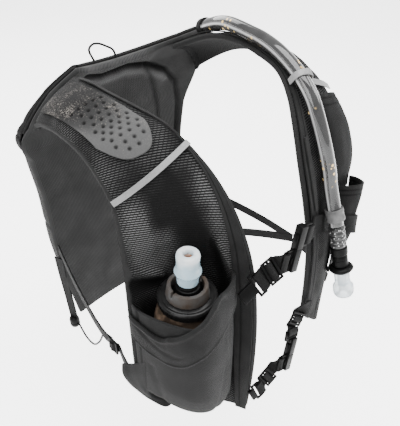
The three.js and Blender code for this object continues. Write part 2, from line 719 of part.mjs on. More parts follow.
const bottleReach = 19;
const bottleLevels = [
  { reach: 1 }, { reach: 0.88 }, { reach: 0.76 }, { reach: 0.66 }, { reach: 0.42 }, { reach: 0.05 },
];
const bottleReachAt = columnReader(bottleLevels, 'reach');
const bottlePocket = { arm: 0.99, neck: 0.56, mouth: 0.715, foot: 0.9 };
addPiece('pocket_flask_left', clothSheet({
  at: (u, v) => pocketPoint(
    panels.left, bottlePocket, bottleReach, u,
    lerp(bottlePocket.mouth, bottlePocket.foot, v), bottleReachAt(v), 6 * seamGap,
  ),
  columns: 8,
  rows: 6,
  thickness: clothWall,
  facing: -1,
}), finishes.stretch);

// Drinking hose: its route is a list of chosen points, from the bag over the left shoulder.
const hoseRoute = [
  [72, 53, 7.4], [69, 39, 14.6], [66.5, 25.5, 20.4], [65, 12.5, 23.6], [64, -2, 24.2], [64, -14, 23.6],
  [64.5, -27.5, 22.4], [62, -50.5, 18.6], [60.5, -72.4, 8.9], [60, -88.6, -5.4], [60, -95.9, -17.4],
  [61.8, -104.9, -40.3], [65.2, -110.7, -64.3], [67.4, -113.6, -82.6], [68, -118, -98],
  [68, -122.3, -109.5], [68.2, -124.5, -118],
].map((point) => vector(...point));
const hoseSides = 10;
addPiece('hose', tubeGeometry(hoseRoute, hoseRadius, hoseSides, 26), finishes.hose);

const hoseEnd = hoseRoute[hoseRoute.length - 1];
const hoseAxis = hoseEnd.clone().sub(hoseRoute[hoseRoute.length - 2]).normalize();
const hosePiece = (profile, facets) => turnedGeometry(profile, facets, hoseEnd, hoseAxis);
const ferruleStart = 2 * seamGap;
const ferruleLength = 20;
const ribs = 5;
const ribProfile = [];
for (let k = 0; k < ribs; k += 1) {
  const start = ferruleStart + (ferruleLength * k) / ribs;
  ribProfile.push([hoseRadius, start], [hoseRadius + 0.8, start + ferruleLength / ribs / 2]);
}
const bodyStart = ferruleStart + ferruleLength + seamGap;
const valveBodyLength = 19;
const flangeStart = bodyStart + valveBodyLength + seamGap;
const flangeLength = 5;
const mouthStart = flangeStart + flangeLength + seamGap;
const mouthLength = 25;
addPiece('hose_ferrule', hosePiece([
  [0, ferruleStart], ...ribProfile, [hoseRadius, bodyStart - seamGap], [0, bodyStart - seamGap],
], 10), finishes.hose);
addPiece('hose_valve_body', hosePiece([
  [0, bodyStart], [hoseRadius + 1.2, bodyStart], [hoseRadius + 1.2, bodyStart + 7],
  [hoseRadius + 0.6, bodyStart + 8], [hoseRadius + 0.6, bodyStart + valveBodyLength],
  [0, bodyStart + valveBodyLength],
], 12), finishes.plastic);
addPiece('hose_valve_flange', hosePiece([
  [0, flangeStart], [hoseRadius + 3, flangeStart], [hoseRadius + 4.6, flangeStart + flangeLength / 2],
  [hoseRadius + 3, flangeStart + flangeLength], [0, flangeStart + flangeLength],
], 14), finishes.plastic);
addPiece('hose_bite_valve', hosePiece([
  [valveBore, mouthStart], [hoseRadius + 0.6, mouthStart],
  [hoseRadius + 0.6, mouthStart + mouthLength * 0.5],
  [hoseRadius + 2.8, mouthStart + mouthLength * 0.62], [hoseRadius + 3, mouthStart + mouthLength * 0.85],
  [hoseRadius + 1.6, mouthStart + mouthLength], [valveBore, mouthStart + mouthLength],
  [valveBore, mouthStart],
], 12), finishes.silicone);

// Sleeve at the collar that the hose comes out of.
const portLength = 9;
const portAxis = hoseRoute[0].clone().sub(hoseRoute[1]).normalize();
const portBase = hoseRoute[0].clone().addScaledVector(portAxis, -4);
addPiece('hose_port', turnedGeometry([
  [hoseRadius + seamGap, 0], [hoseRadius + 1.6, 0], [hoseRadius + 1.8, portLength * 0.7],
  [hoseRadius, portLength], [hoseRadius - 2, portLength], [hoseRadius + seamGap, portLength * 0.7],
  [hoseRadius + seamGap, 0],
], 12, portBase, portAxis), finishes.shell);

// Reflective loop that holds the hose down on the left panel.
const loopLine = { neck: 0.425, arm: 0.447 };
function hoseLoopGeometry(panel) {
  const rest = restHeight(tapeThickness) + stripLift;
  const neckEdge = panel.place(0, loopLine.neck, 0);
  const armEdge = panel.place(1, loopLine.arm, 0);
  const width = neckEdge.distanceTo(armEdge);
  const hoseShare = 0.13;
  const hoseHeight = panelThickness / 2 + hoseRadius + 2.2;
  const reach = hoseRadius + tapeThickness / 2 + 3 * seamGap;
  const profile = [[0, rest]];
  for (const angle of [165, 130, 95, 60, 30]) {
    const turn = radians(angle);
    profile.push([hoseShare + (reach * Math.cos(turn)) / width, hoseHeight + reach * Math.sin(turn)]);
  }
  profile.push([0.36, rest + 1], [0.5, rest], [0.75, rest], [1, rest]);
  const path = profile.map(([s, height]) => {
    const share = Math.max(s, 0);
    return panel.place(share, lerp(loopLine.neck, loopLine.arm, share), height);
  });
  const sides = profile.map(([s]) => {
    const share = Math.max(s, 0);
    return panel.along(share, lerp(loopLine.neck, loopLine.arm, share));
  });
  return strapGeometry(path, sides, stripWidth, tapeThickness);
}
addPiece('hose_strip_left', hoseLoopGeometry(panels.left), finishes.reflective);

// Hang loop at the collar: a cord with chosen points.
const hangRoute = [
  [-34, 77.5, -5], [-36, 82, 5.5], [-33, 81.5, 9.4], [-26, 82.5, 8.5], [-18, 82.5, 4], [-12, 81.5, -0.5],
  [-8.5, 82, -9],
].map((point) => vector(...point));
addPiece('hang_loop', tubeGeometry(hangRoute, cordRadius, 6, 16), finishes.webbing);

// Chest straps. A frame holds a piece of hardware: its centre, the way its webbing runs, the way
// its bars run and the way it faces, which is away from the body.
function hardwareFrame(centre, along, side) {
  const a = vector(...along).normalize();
  const raw = vector(...side);
  const b = raw.addScaledVector(a, -raw.dot(a)).normalize();
  const normal = a.clone().cross(b);
  if (normal.y > 0) normal.negate();
  return { centre: vector(...centre), along: a, side: b, normal };
}
const inFrame = (frame, along, side, normal) => frame.centre.clone()
  .addScaledVector(frame.along, along)
  .addScaledVector(frame.side, side)
  .addScaledVector(frame.normal, normal);
const turned = (frame) => ({ ...frame, along: frame.along.clone().negate() });

function frameBox(frame, [length, width, height], [along, side, normal] = [0, 0, 0]) {
  const third = frame.along.clone().cross(frame.side);
  const basis = new THREE.Matrix4().makeBasis(frame.along, frame.side, third);
  const place = inFrame(frame, along, side, normal);
  const box = new THREE.BoxGeometry(length, width, height).applyMatrix4(basis);
  return toSolid(box.translate(place.x, place.y, place.z));
}

const slotLength = 3.4; // opening between two bars, along the webbing
const sliderRim = 1.6; // bar past each end of a slot
const slotRoom = 0.8; // how much wider than its webbing a slot is
const throughAll = 40;

// Slider with three bars, the middle one carrying the webbing.
function sliderGeometry(frame, width) {
  const length = 3 * barSize + 2 * slotLength;
  const plate = frameBox(frame, [length, width + slotRoom + 2 * sliderRim, barHeight]);
  const slot = (sign) => frameBox(
    frame,
    [slotLength, width + slotRoom, throughAll],
    [(sign * (barSize + slotLength)) / 2, 0, 0],
  );
  return fromSolid(plate.subtract(slot(1)).subtract(slot(-1)));
}

// Plate with one slot and a bar at its free end, on the side the webbing comes from.
function barPlate(frame, width, body) {
  const length = 2 * barSize + slotLength;
  const plate = frameBox(
    frame,
    [length, width + slotRoom + 2 * sliderRim, barHeight],
    [-(length - barSize) / 2, 0, 0],
  );
  const slot = frameBox(
    frame,
    [slotLength, width + slotRoom, throughAll],
    [-(barSize + slotLength) / 2, 0, 0],
  );
  const start = -(length - barSize / 2) + 0.01;
  const block = frameBox(
    frame,
    [body.length, body.width, body.height],
    [start - body.length / 2, body.shift ?? 0, 0],
  );
  return plate.subtract(slot).add(block);
}

// Path of a webbing around a bar and through a slider, as distances along and off the hardware.
const loopPath = [
  [5, 0.75], [2, 1.7], [-1, 1.8], [-2, 1], [-2, -1], [-1, -1.8], [2, -1.7], [4.2, -0.75],
];
const threadPath = [[-7, -1.8], [-4.3, -1.8], [-1.1, 1.8], [1.1, 1.8], [4.3, -1.8], [7, -1.8]];

function webGeometry(stations, width) {
  const path = [];
  const sides = [];
  stations.forEach(({ frame, kind, point, side }) => {
    const steps = {
      start: loopPath,
      thread: threadPath,
      end: loopPath.map(([along, off]) => [-along, off]).reverse(),
      point: [],
    }[kind];
    if (kind === 'point') {
      path.push(point);
      sides.push(side);
    }
    for (const [along, off] of steps) {
      path.push(inFrame(frame, along, 0, off));
      sides.push(frame.side);
    }
  });
  return strapGeometry(path, sides, width, webThickness);
}

// Fastened clip: a socket and a plug end to end, each with a bar for its webbing. Its frame runs
// along the webbing, and the two halves follow one another against the frame's side.
const clipThickness = 7;
const clipDepth = 7;
const tongue = { length: 4, width: 7, height: 4 };
const tongueRoom = 0.4;

function clipFrames(frame, half) {
  const reach = 2 * barSize + slotLength - barSize / 2 + clipDepth / 2;
  const bar = (sign) => ({
    ...frame,
    centre: inFrame(frame, sign * reach, -sign * half, 0),
  });
  return { right: bar(-1), left: bar(1) };
}

function clipHalf(frame, half, sign) {
  const long = 2 * half - tongueRoom;
  const offset = [0, sign * half, 0];
  const block = frameBox(frame, [clipDepth, long, clipThickness], offset);
  const step = frameBox(frame, [clipDepth + 3, long * 0.3, clipThickness - 3], offset);
  return block.add(step);
}

// Upper chest strap, from the pocket's cuff on the right to the left panel.
const upper = {
  anchor: hardwareFrame([-31.5, -131, -121.5], [0.9, -0.07, 0.42], [0.15, -0.47, -0.88]),
  slider: hardwareFrame([-19.8, -132.3, -115.8], [0.95, -0.05, 0.3], [0.1, -0.47, -0.88]),
  clip: hardwareFrame([6.5, -133.5, -105.5], [0.97, 0, -0.22], [-0.225, 0, -0.975]),
};
const upperHalf = 10.6; // half the length of each half of the upper clip
const upperBars = clipFrames(upper.clip, upperHalf);
const hookBody = { length: 13.5, width: 11, height: 3.4 };
addPiece(
  'upper_hook_right',
  fromSolid(barPlate(upper.anchor, chestWebWidth, hookBody)),
  finishes.plastic,
);
addPiece('upper_slider', sliderGeometry(upper.slider, chestWebWidth), finishes.plastic);
addPiece('upper_web_right', webGeometry([
  { frame: upper.anchor, kind: 'start' },
  { frame: upper.slider, kind: 'thread' },
  { frame: { ...upperBars.right, side: upper.clip.side }, kind: 'end' },
], chestWebWidth), finishes.webbing);

const clipBody = { length: 3, width: chestWebWidth, height: 4 };
const upperSocket = clipHalf(upper.clip, upperHalf, 1)
  .add(barPlate(turned(upperBars.right), chestWebWidth, clipBody));
const upperPlug = clipHalf(upper.clip, upperHalf, -1)
  .add(barPlate(upperBars.left, chestWebWidth, clipBody));
const upperTongue = (room) => frameBox(
  upper.clip,
  [tongue.width + room - 2, 2 * tongue.length + room, tongue.height + room],
);
addPiece('upper_clip_socket', fromSolid(upperSocket.subtract(upperTongue(0.8))), finishes.plastic);
addPiece(
  'upper_clip_plug',
  fromSolid(upperPlug.add(upperTongue(0)).subtract(upperSocket.subtract(upperTongue(0.8)))),
  finishes.plastic,
);

// The webbing of the left end lies on the panel, under the hose and over the flask pocket.
const bandLine = { neck: 0.775, arm: 0.815 };
const overPanel = (s, lift) => {
  const t = lerp(bandLine.neck, bandLine.arm, s);
  return {
    kind: 'point',
    point: panels.left.place(s, t, restHeight(webThickness) + lift),
    side: panels.left.along(s, t),
  };
};
const overPocket = (u) => {
  const s = lerp(bottlePocket.arm, bottlePocket.neck, u);
  const t = lerp(bandLine.neck, bandLine.arm, s);
  const level = bottleReachAt((t - bottlePocket.mouth) / (bottlePocket.foot - bottlePocket.mouth));
  const lift = (clothWall + webThickness) / 2 + 10 * seamGap;
  return {
    kind: 'point',
    point: pocketPoint(panels.left, bottlePocket, bottleReach, u, t, level, lift),
    side: panels.left.along(s, t),
  };
};
addPiece('upper_web_left', webGeometry([
  { frame: upperBars.left, kind: 'start' },
  overPanel(0.02, stripLift + 4 * seamGap),
  overPanel(0.14, stripLift + 4 * seamGap),
  overPanel(0.35, 0.5),
  overPanel(0.5, 2),
  ...[0.95, 0.8, 0.6, 0.4, 0.2, 0.05].map(overPocket),
], chestWebWidth), finishes.webbing);

// Clear clip that holds the hose to that webbing.
const keeperLength = 11;
const keeperAxis = hoseRoute[15].clone().sub(hoseRoute[14]).normalize();
const keeperBase = hoseRoute[14].clone().addScaledVector(keeperAxis, 5);
addPiece('hose_keeper', turnedGeometry([
  [hoseRadius + 0.7, 0], [hoseRadius + 1.8, 0], [hoseRadius + 1.8, keeperLength],
  [hoseRadius + 0.7, keeperLength], [hoseRadius + 0.7, 0],
], 12, keeperBase, keeperAxis), finishes.silicone);

// Lower chest strap, between the lower corners of the panels.
const lower = {
  anchor: hardwareFrame([-18.5, -127, -262], [0.95, -0.05, 0.3], [0.3, -0.3, -0.9]),
  slider: hardwareFrame([-6.5, -125.3, -256.5], [0.83, -0.05, 0.55], [0.45, -0.3, -0.8]),
  clip: hardwareFrame([20, -126, -242.5], [0.93, 0.05, -0.3], [-0.2, -0.07, -0.975]),
  rise: hardwareFrame([23.9, -124.2, -219.8], [0.25, 0.12, 0.96], [0.93, 0, -0.25]),
  riseSlider: hardwareFrame([31.6, -121.5, -209.2], [0.62, 0.1, 0.75], [0.75, -0.1, -0.6]),
};
const lowerHalf = 8.6; // half the length of each half of the lower clip
const lowerBars = clipFrames(lower.clip, lowerHalf);
const lowerBody = { length: 4, width: waistWebWidth - 2, height: 3 };
addPiece(
  'lower_anchor_right',
  fromSolid(barPlate(lower.anchor, waistWebWidth, lowerBody)),
  finishes.plastic,
);
addPiece('lower_slider_right', sliderGeometry(lower.slider, waistWebWidth), finishes.plastic);
addPiece('lower_web_right', webGeometry([
  { frame: lower.anchor, kind: 'start' },
  { frame: lower.slider, kind: 'thread' },
  { frame: lowerBars.right, kind: 'end' },
], waistWebWidth), finishes.webbing);

const lowerTongue = (room) => frameBox(
  lower.clip,
  [tongue.width + room - 2, 2 * tongue.length + room, tongue.height + room],
);
const lowerClipBody = { length: 3, width: waistWebWidth, height: 4 };
const lowerSocket = clipHalf(lower.clip, lowerHalf, 1)
  .add(barPlate(turned(lowerBars.right), waistWebWidth, lowerClipBody))
  .subtract(lowerTongue(0.8));
const riseBody = { length: 3, width: 7, height: 4 };
const lowerPlug = clipHalf(lower.clip, lowerHalf, -1)
  .add(barPlate(lower.rise, waistWebWidth, riseBody))
  .add(lowerTongue(0))
  .subtract(lowerSocket);
addPiece('lower_clip_socket', fromSolid(lowerSocket), finishes.plastic);
addPiece('lower_clip_plug', fromSolid(lowerPlug), finishes.plastic);
const farRows = [[41, -122.1, -202.2], [49, -122, -204.8]]; // sewn end on the left panel
const farSide = vector(0.25, -0.1, -0.96);
addPiece('lower_slider_left', sliderGeometry(lower.riseSlider, waistWebWidth), finishes.plastic);
addPiece('lower_web_left', webGeometry([
  { frame: lower.rise, kind: 'start' },
  { frame: lower.riseSlider, kind: 'thread' },
  ...farRows.map(([x, y, z]) => ({ kind: 'point', point: vector(x, y, z), side: farSide })),
], waistWebWidth), finishes.webbing);

// Right side strap, from the bag's lower side to the wing of the flask pocket, with its slider.
const upright = vector(0, 0, -1);
const sidePoints = (rows) => rows.map((row) => ({ kind: 'point', point: vector(...row), side: upright }));
const sideSlider = hardwareFrame([-116.5, -42, -205], [-0.03, -1, 0.02], [0, 0, -1]);
if (sideSlider.normal.x > 0) sideSlider.normal.negate();
addPiece('side_web_right', webGeometry([
  ...sidePoints([[-88.6, 91, -190], [-90.6, 80, -196], [-98, 50, -202], [-105, 20, -205], [-111, -8, -207],
    [-114.5, -28, -206]]),
  { frame: sideSlider, kind: 'thread' },
  ...sidePoints([[-118.5, -60, -206], [-121.6, -79, -212]]),
], sideWebWidth), finishes.webbing);
addPiece('side_slider_right', sliderGeometry(sideSlider, sideWebWidth), finishes.plastic);

// Tail of the bag's compression cord: a webbing down its corner, a cord lock and a thin cord.
const tailWidth = 10;
const tailRows = [[-89.4, 92, -205], [-86, 94, -235], [-83, 94.5, -262], [-81, 93, -292]];
const tailSide = vector(0.35, -0.94, 0);
addPiece('pack_tail_right', webGeometry(tailRows.map((row) => ({
  kind: 'point', point: vector(...row), side: tailSide,
})), tailWidth), finishes.webbing);
const lockAxis = vector(0.1, 0.05, -1).normalize();
addPiece('cord_lock_right', turnedGeometry([
  [0, 0], [4.2, 0.6], [5.4, 4], [5.4, 11], [4, 13.6], [0, 14.2],
].map(([radius, height]) => [radius, height]), 10, vector(-81.5, 93, -292.4), lockAxis), finishes.plastic);
const cordRoute = [
  [-78.9, 88, -301], [-82, 70, -304], [-88, 45, -292], [-96, 18, -262], [-105, -6, -228],
  [-110.8, -20.4, -211.2],
].map((point) => vector(...point));
addPiece('side_cord_right', tubeGeometry(cordRoute, cordRadius, 6, 14), finishes.webbing);

// Left side strap: two legs from the bag's far corner that meet, and a tab on to the panel.
const vMeet = vector(113, -40, -205);
const legRows = [[78.3, 88, -187], [79.3, 87, -251]];
const legSide = vector(0, 0.05, -1);
const legSolid = ([x, y, z]) => {
  const start = vector(x, y, z);
  const path = [0, 0.35, 0.7, 1].map((share) => {
    const point = start.clone().lerp(vMeet, share);
    point.x += 6 * Math.sin(Math.PI * share);
    return point;
  });
  return toSolid(strapGeometry(path, path.map(() => legSide), sideWebWidth, webThickness));
};
addPiece('side_web_left', fromSolid(legSolid(legRows[0]).add(legSolid(legRows[1]))), finishes.webbing);
const tabRows = [[113.2, -41, -205], [112, -62, -207], [108, -80, -210], [100.5, -99, -214]];
addPiece('side_tab_left', webGeometry(tabRows.map((row) => ({
  kind: 'point', point: vector(...row), side: legSide,
})), sideWebWidth + 3), finishes.webbing);

export default vest;
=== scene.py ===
import math

import bpy
import numpy as np
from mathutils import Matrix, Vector


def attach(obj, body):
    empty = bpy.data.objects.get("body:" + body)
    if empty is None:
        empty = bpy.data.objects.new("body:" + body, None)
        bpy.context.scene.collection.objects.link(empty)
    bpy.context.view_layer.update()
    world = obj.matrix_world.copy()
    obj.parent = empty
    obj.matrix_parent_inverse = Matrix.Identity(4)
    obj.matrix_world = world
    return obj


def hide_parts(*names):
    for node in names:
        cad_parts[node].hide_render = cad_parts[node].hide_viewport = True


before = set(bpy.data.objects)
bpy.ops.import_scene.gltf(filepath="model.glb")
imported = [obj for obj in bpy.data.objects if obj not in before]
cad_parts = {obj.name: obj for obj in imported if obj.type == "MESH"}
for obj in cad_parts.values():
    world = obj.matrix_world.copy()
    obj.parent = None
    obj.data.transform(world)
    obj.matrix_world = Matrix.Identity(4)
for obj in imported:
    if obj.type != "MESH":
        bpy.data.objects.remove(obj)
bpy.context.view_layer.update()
bpy.ops.object.select_all(action="DESELECT")
mm = 0.001


# Points are worked out in millimetres and written to the meshes in metres.


# A smooth curve through all the points, read by a share from 0 to 1.
def smoothCurve(points):
    pts = np.array(points, float)
    if pts.ndim == 1:
        pts = pts[:, None]
    count = len(pts)
    padded = np.vstack([2 * pts[0] - pts[1], pts, 2 * pts[-1] - pts[-2]])
    gaps = np.sum(np.diff(padded, axis=0) ** 2, axis=1) ** 0.25

    def at(share):
        place = np.clip(np.asarray(share, float), 0, 1) * (count - 1)
        i = np.minimum(place.astype(int), count - 2)
        w = (place - i)[..., None]
        p0, p1, p2, p3 = (padded[i + k] for k in range(4))
        d0, d1, d2 = (gaps[i + k][..., None] for k in range(3))
        d1 = np.where(d1 < 1e-4, 1, d1)
        d0, d2 = (np.where(gap < 1e-4, d1, gap) for gap in (d0, d2))
        m1 = ((p1 - p0) / d0 - (p2 - p0) / (d0 + d1) + (p2 - p1) / d1) * d1
        m2 = ((p2 - p1) / d1 - (p3 - p1) / (d1 + d2) + (p3 - p2) / d2) * d1
        bend = (-3 * p1 + 3 * p2 - 2 * m1 - m2) * w**2
        return p1 + m1 * w + bend + (2 * p1 - 2 * p2 + m1 + m2) * w**3

    return at


def column(values):
    curve = smoothCurve(values)
    return lambda v: curve(v)[..., 0]


# Points at equal steps along the curve, or what follows it at those steps.
def evenly(points, count, follow=None):
    shares = np.linspace(0, 1, 40 * len(points))
    fine = smoothCurve(points)(shares)
    run = np.concatenate([[0], np.cumsum(np.linalg.norm(np.diff(fine, axis=0), axis=1))])
    steps = np.linspace(0, run[-1], count)
    read = fine if follow is None else smoothCurve(follow)(shares)
    return np.stack([np.interp(steps, run, read[:, k]) for k in range(3)], axis=1)


def unit(vectors):
    return vectors / np.maximum(np.linalg.norm(vectors, axis=-1, keepdims=True), 1e-9)


def grid(columns, rows):
    v, u = np.meshgrid(np.linspace(0, 1, rows + 1), np.linspace(0, 1, columns + 1), indexing="ij")
    return u, v


# Gentle random slack, from -1 to 1, the same each run.
def ripples(u, v, seed, waves=14, low=2, high=9):
    draw = np.random.default_rng(seed)
    total = np.zeros_like(u)
    for _ in range(waves):
        pace = draw.uniform(low, high)
        turn = draw.uniform(0, 2 * math.pi)
        phase = draw.uniform(0, 2 * math.pi)
        total += np.sin(pace * (math.cos(turn) * u + math.sin(turn) * v) * 2 * math.pi + phase) / pace
    return total / np.abs(total).max()


# A soft line from a to b, 1 on it and fading to 0.
def groove(x, y, ax, ay, bx, by, width):
    dx, dy = bx - ax, by - ay
    share = np.clip(((x - ax) * dx + (y - ay) * dy) / (dx * dx + dy * dy), 0, 1)
    distance = np.hypot(x - ax - share * dx, y - ay - share * dy)
    return np.exp(-((distance / width) ** 2))


def grooves(x, y, rows):
    return sum((depth * groove(x, y, *ends, width) for *ends, width, depth in rows), np.zeros_like(x))


def bell(value, centre, width):
    return np.exp(-(((value - centre) / width) ** 2))



def meshPiece(name, points, faces, uvs=None, marks=None):
    mesh = bpy.data.meshes.new(name)
    mesh.from_pydata((np.asarray(points) * mm).tolist(), [], faces)
    mesh.polygons.foreach_set("use_smooth", [True] * len(mesh.polygons))
    if uvs is not None:
        layer = mesh.uv_layers.new(name="cloth")
        corners = np.empty(len(mesh.loops), int)
        mesh.loops.foreach_get("vertex_index", corners)
        layer.data.foreach_set("uv", np.asarray(uvs)[corners].ravel())
    for key, values in (marks or {}).items():
        mesh.attributes.new(key, "FLOAT", "POINT").data.foreach_set("value", np.asarray(values, float))
    mesh.update()
    piece = bpy.data.objects.new(name, mesh)
    bpy.context.collection.objects.link(piece)
    return piece


# Cloth with two faces and a rounded rim. Relief lifts the outer face, marks steer its finish.
def clothPiece(name, points, thickness, facing=1, relief=0.0, rounding=0.4, marks=None):
    rows, columns = points.shape[0] - 1, points.shape[1] - 1
    normals = unit(np.cross(np.gradient(points, axis=1), np.gradient(points, axis=0)) * facing)
    relief = np.broadcast_to(relief, points.shape[:2])[..., None]
    front = points + normals * (thickness / 2 + relief)
    back = points - normals * (thickness / 2)
    edge = [(0, j) for j in range(columns)] + [(i, columns) for i in range(rows)]
    edge += [(rows, columns - j) for j in range(columns)] + [(rows - i, 0) for i in range(rows)]
    i, j = np.array(edge).T
    inner = points[np.clip(i, 1, rows - 1), np.clip(j, 1, columns - 1)]
    rim = (front[i, j] + back[i, j]) / 2 + unit(points[i, j] - inner) * thickness * rounding
    size = (rows + 1) * (columns + 1)
    index = np.arange(size).reshape(rows + 1, columns + 1)
    a, b, c, d = index[:-1, :-1], index[:-1, 1:], index[1:, 1:], index[1:, :-1]
    face = np.stack([a, b, c, d], -1).reshape(-1, 4)
    near, far = (face, face[:, ::-1] + size) if facing > 0 else (face[:, ::-1], face + size)
    loop = index[i, j]
    ahead = np.roll(np.arange(len(loop)), -1)
    middle = 2 * size + np.arange(len(loop))
    bands = [np.stack([loop[ahead], loop, middle, middle[ahead]], -1)]
    bands.append(np.stack([middle[ahead], middle, loop + size, loop[ahead] + size], -1))
    bands = np.concatenate(bands)
    if facing < 0:
        bands = bands[:, ::-1]
    faces = np.concatenate([near, far, bands]).tolist()
    across = np.linalg.norm(np.diff(points, axis=1), axis=2)
    across = np.concatenate([np.zeros((rows + 1, 1)), np.cumsum(across, axis=1)], axis=1)
    spine = np.linalg.norm(np.diff(points[:, columns // 2], axis=0), axis=1)
    along = np.broadcast_to(np.concatenate([[0], np.cumsum(spine)])[:, None], across.shape)
    flat = np.stack([across, along], -1).reshape(-1, 2)
    uvs = np.concatenate([flat, flat, flat[loop]])
    sides = {"inside": np.concatenate([np.zeros(size), np.ones(size), np.ones(len(loop)) * 0.5])}
    for key, values in (marks or {}).items():
        values = np.asarray(values).reshape(-1)
        sides[key] = np.concatenate([values, values, values[loop]])
    shell = np.concatenate([front.reshape(-1, 3), back.reshape(-1, 3), rim])
    piece = meshPiece(name, shell, faces, uvs, sides)
    piece["flatSize"] = [float(across[:, -1].mean()), float(along[-1, 0])]
    return piece


# One section carried along a line, with closed ends.
def sweptPiece(name, path, sides, normals, section):
    count, size = len(path), len(section)
    section = np.array(section, float)
    points = path[:, None] + sides[:, None] * section[None, :, :1]
    points = points + normals[:, None] * section[None, :, 1:]
    ring = np.arange(size)
    faces = []
    for k in range(count - 1):
        near, far = k * size + ring, (k + 1) * size + ring
        faces += np.stack([near, np.roll(near, -1), np.roll(far, -1), far], -1).tolist()
    faces += [ring[::-1].tolist(), ((count - 1) * size + ring).tolist()]
    run = np.concatenate([[0], np.cumsum(np.linalg.norm(np.diff(path, axis=0), axis=1))])
    uvs = np.stack(np.broadcast_arrays(section[None, :, 0], run[:, None]), -1).reshape(-1, 2)
    flat = points.reshape(-1, 3)
    outward = points[1, 0] - points[1].mean(axis=0)
    turned = np.cross(points[1, 1] - points[1, 0], points[2, 0] - points[1, 0])
    if np.dot(outward, turned) < 0:
        faces = [face[::-1] for face in faces]
    return meshPiece(name, flat, faces, uvs)


# Flat webbing or tape: its edges are thicker, or thinner where edge is below 0.
def strapPiece(name, path, sides, width, thickness, count=120, edge=0.25):
    line = evenly(path, count)
    side = unit(evenly(path, count, sides))
    ahead = unit(np.gradient(line, axis=0))
    side = unit(side - ahead * np.sum(side * ahead, axis=1, keepdims=True))
    normal = np.cross(ahead, side)
    half, thick = width / 2, thickness / 2
    top = [(x * half, thick * (1 + edge * (abs(x) > 0.8))) for x in np.linspace(-0.97, 0.97, 15)]
    section = top + [(half, 0)] + [(x, -y) for x, y in reversed(top)] + [(-half, 0)]
    return sweptPiece(name, line, side, normal, section)


# A cord, or a tube where it has a bore.
def roundPiece(name, path, radius, sides=28, count=160, bore=None):
    line = evenly(path, count)
    ahead = unit(np.gradient(line, axis=0))
    side = np.zeros_like(line)
    side[0] = unit(np.cross(ahead[0], [0.3, 0.2, 0.9]))
    for k in range(1, count):
        side[k] = unit(side[k - 1] - ahead[k] * np.dot(side[k - 1], ahead[k]))
    normal = np.cross(ahead, side)
    angles = np.linspace(0, 2 * math.pi, sides, endpoint=False)
    circle = np.stack([np.cos(angles), np.sin(angles)], -1)
    if bore is None:
        return sweptPiece(name, line, side, normal, circle * radius), line
    spokes = side[:, None] * circle[None, :, :1] + normal[:, None] * circle[None, :, 1:]
    outer, inner = line[:, None] + spokes * radius, line[:, None] + spokes * bore
    ring, size = np.arange(sides), count * sides
    after = np.roll(ring, -1)
    faces = []
    for k in range(count - 1):
        near, far = k * sides, (k + 1) * sides
        quads = np.stack([near + ring, near + after, far + after, far + ring], -1)
        faces += quads.tolist() + (quads[:, ::-1] + size).tolist()
    last = (count - 1) * sides
    faces += np.stack([size + ring, size + after, after, ring], -1).tolist()
    faces += np.stack([last + ring, last + after, size + last + after, size + last + ring], -1).tolist()
    if np.dot(np.cross(outer[0, 1] - outer[0, 0], outer[1, 0] - outer[0, 0]), spokes[0, 0]) < 0:
        faces = [face[::-1] for face in faces]
    run = np.linspace(0, routeLength(path), count)[:, None] * np.ones(sides)
    turn = np.broadcast_to(angles * radius, (count, sides))
    flat = np.stack([turn, run], -1).reshape(-1, 2)
    points = np.concatenate([outer.reshape(-1, 3), inner.reshape(-1, 3)])
    return meshPiece(name, points, faces, np.concatenate([flat, flat])), line


# A turned shape from (radius, height) steps, extruded ring by ring and set on its axis.
def turnedPiece(name, profile, base, axis, facets=64, open=False):
    fill = "NOTHING" if open else "NGON"
    first = max(profile[0][0], 0.05)
    bpy.ops.object.select_all(action="DESELECT")
    bpy.ops.mesh.primitive_circle_add(
        vertices=facets, radius=first * mm, fill_type=fill, location=(0, 0, profile[0][1] * mm)
    )
    piece = bpy.context.object
    piece.name = name
    bpy.ops.object.transform_apply(location=True, rotation=True, scale=True)
    bpy.ops.object.mode_set(mode="EDIT")
    bpy.ops.mesh.select_all(action="SELECT")
    for (r1, h1), (r2, h2) in zip(profile, profile[1:]):
        scale = max(r2, 0.05) / max(r1, 0.05)
        bpy.ops.mesh.extrude_region_move(TRANSFORM_OT_translate={"value": (0, 0, (h2 - h1) * mm)})
        bpy.ops.transform.resize(value=(scale, scale, 1))
    bpy.ops.mesh.select_all(action="SELECT")
    bpy.ops.mesh.remove_doubles(threshold=0.00001)
    bpy.ops.mesh.normals_make_consistent(inside=False)
    bpy.ops.object.mode_set(mode="OBJECT")
    turn = Vector((0, 0, 1)).rotation_difference(Vector(axis)).to_matrix().to_4x4()
    turn.translation = Vector(base) * mm
    piece.data.transform(turn)
    piece.data.update()
    bpy.ops.object.shade_smooth_by_angle(angle=math.radians(38))
    return piece


# A CAD node with its edges rounded, for hardware whose shape is already right.
def dressedCopy(node, name, bevel, angle=35):
    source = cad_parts[node]
    piece = bpy.data.objects.new(name, source.data.copy())
    bpy.context.collection.objects.link(piece)
    bpy.ops.object.select_all(action="DESELECT")
    bpy.context.view_layer.objects.active = piece
    piece.select_set(True)
    bpy.ops.object.mode_set(mode="EDIT")
    bpy.ops.mesh.select_all(action="SELECT")
    bpy.ops.mesh.remove_doubles(threshold=0.00002)
    bpy.ops.mesh.dissolve_limited(angle_limit=math.radians(2))
    bpy.ops.object.mode_set(mode="OBJECT")
    edge = piece.modifiers.new("edge", "BEVEL")
    edge.width, edge.segments = bevel * mm, 3
    edge.limit_method, edge.angle_limit = "ANGLE", math.radians(30)
    edge.use_clamp_overlap = True
    bpy.ops.object.modifier_apply(modifier="edge")
    bpy.ops.object.shade_smooth_by_angle(angle=math.radians(angle))
    return piece


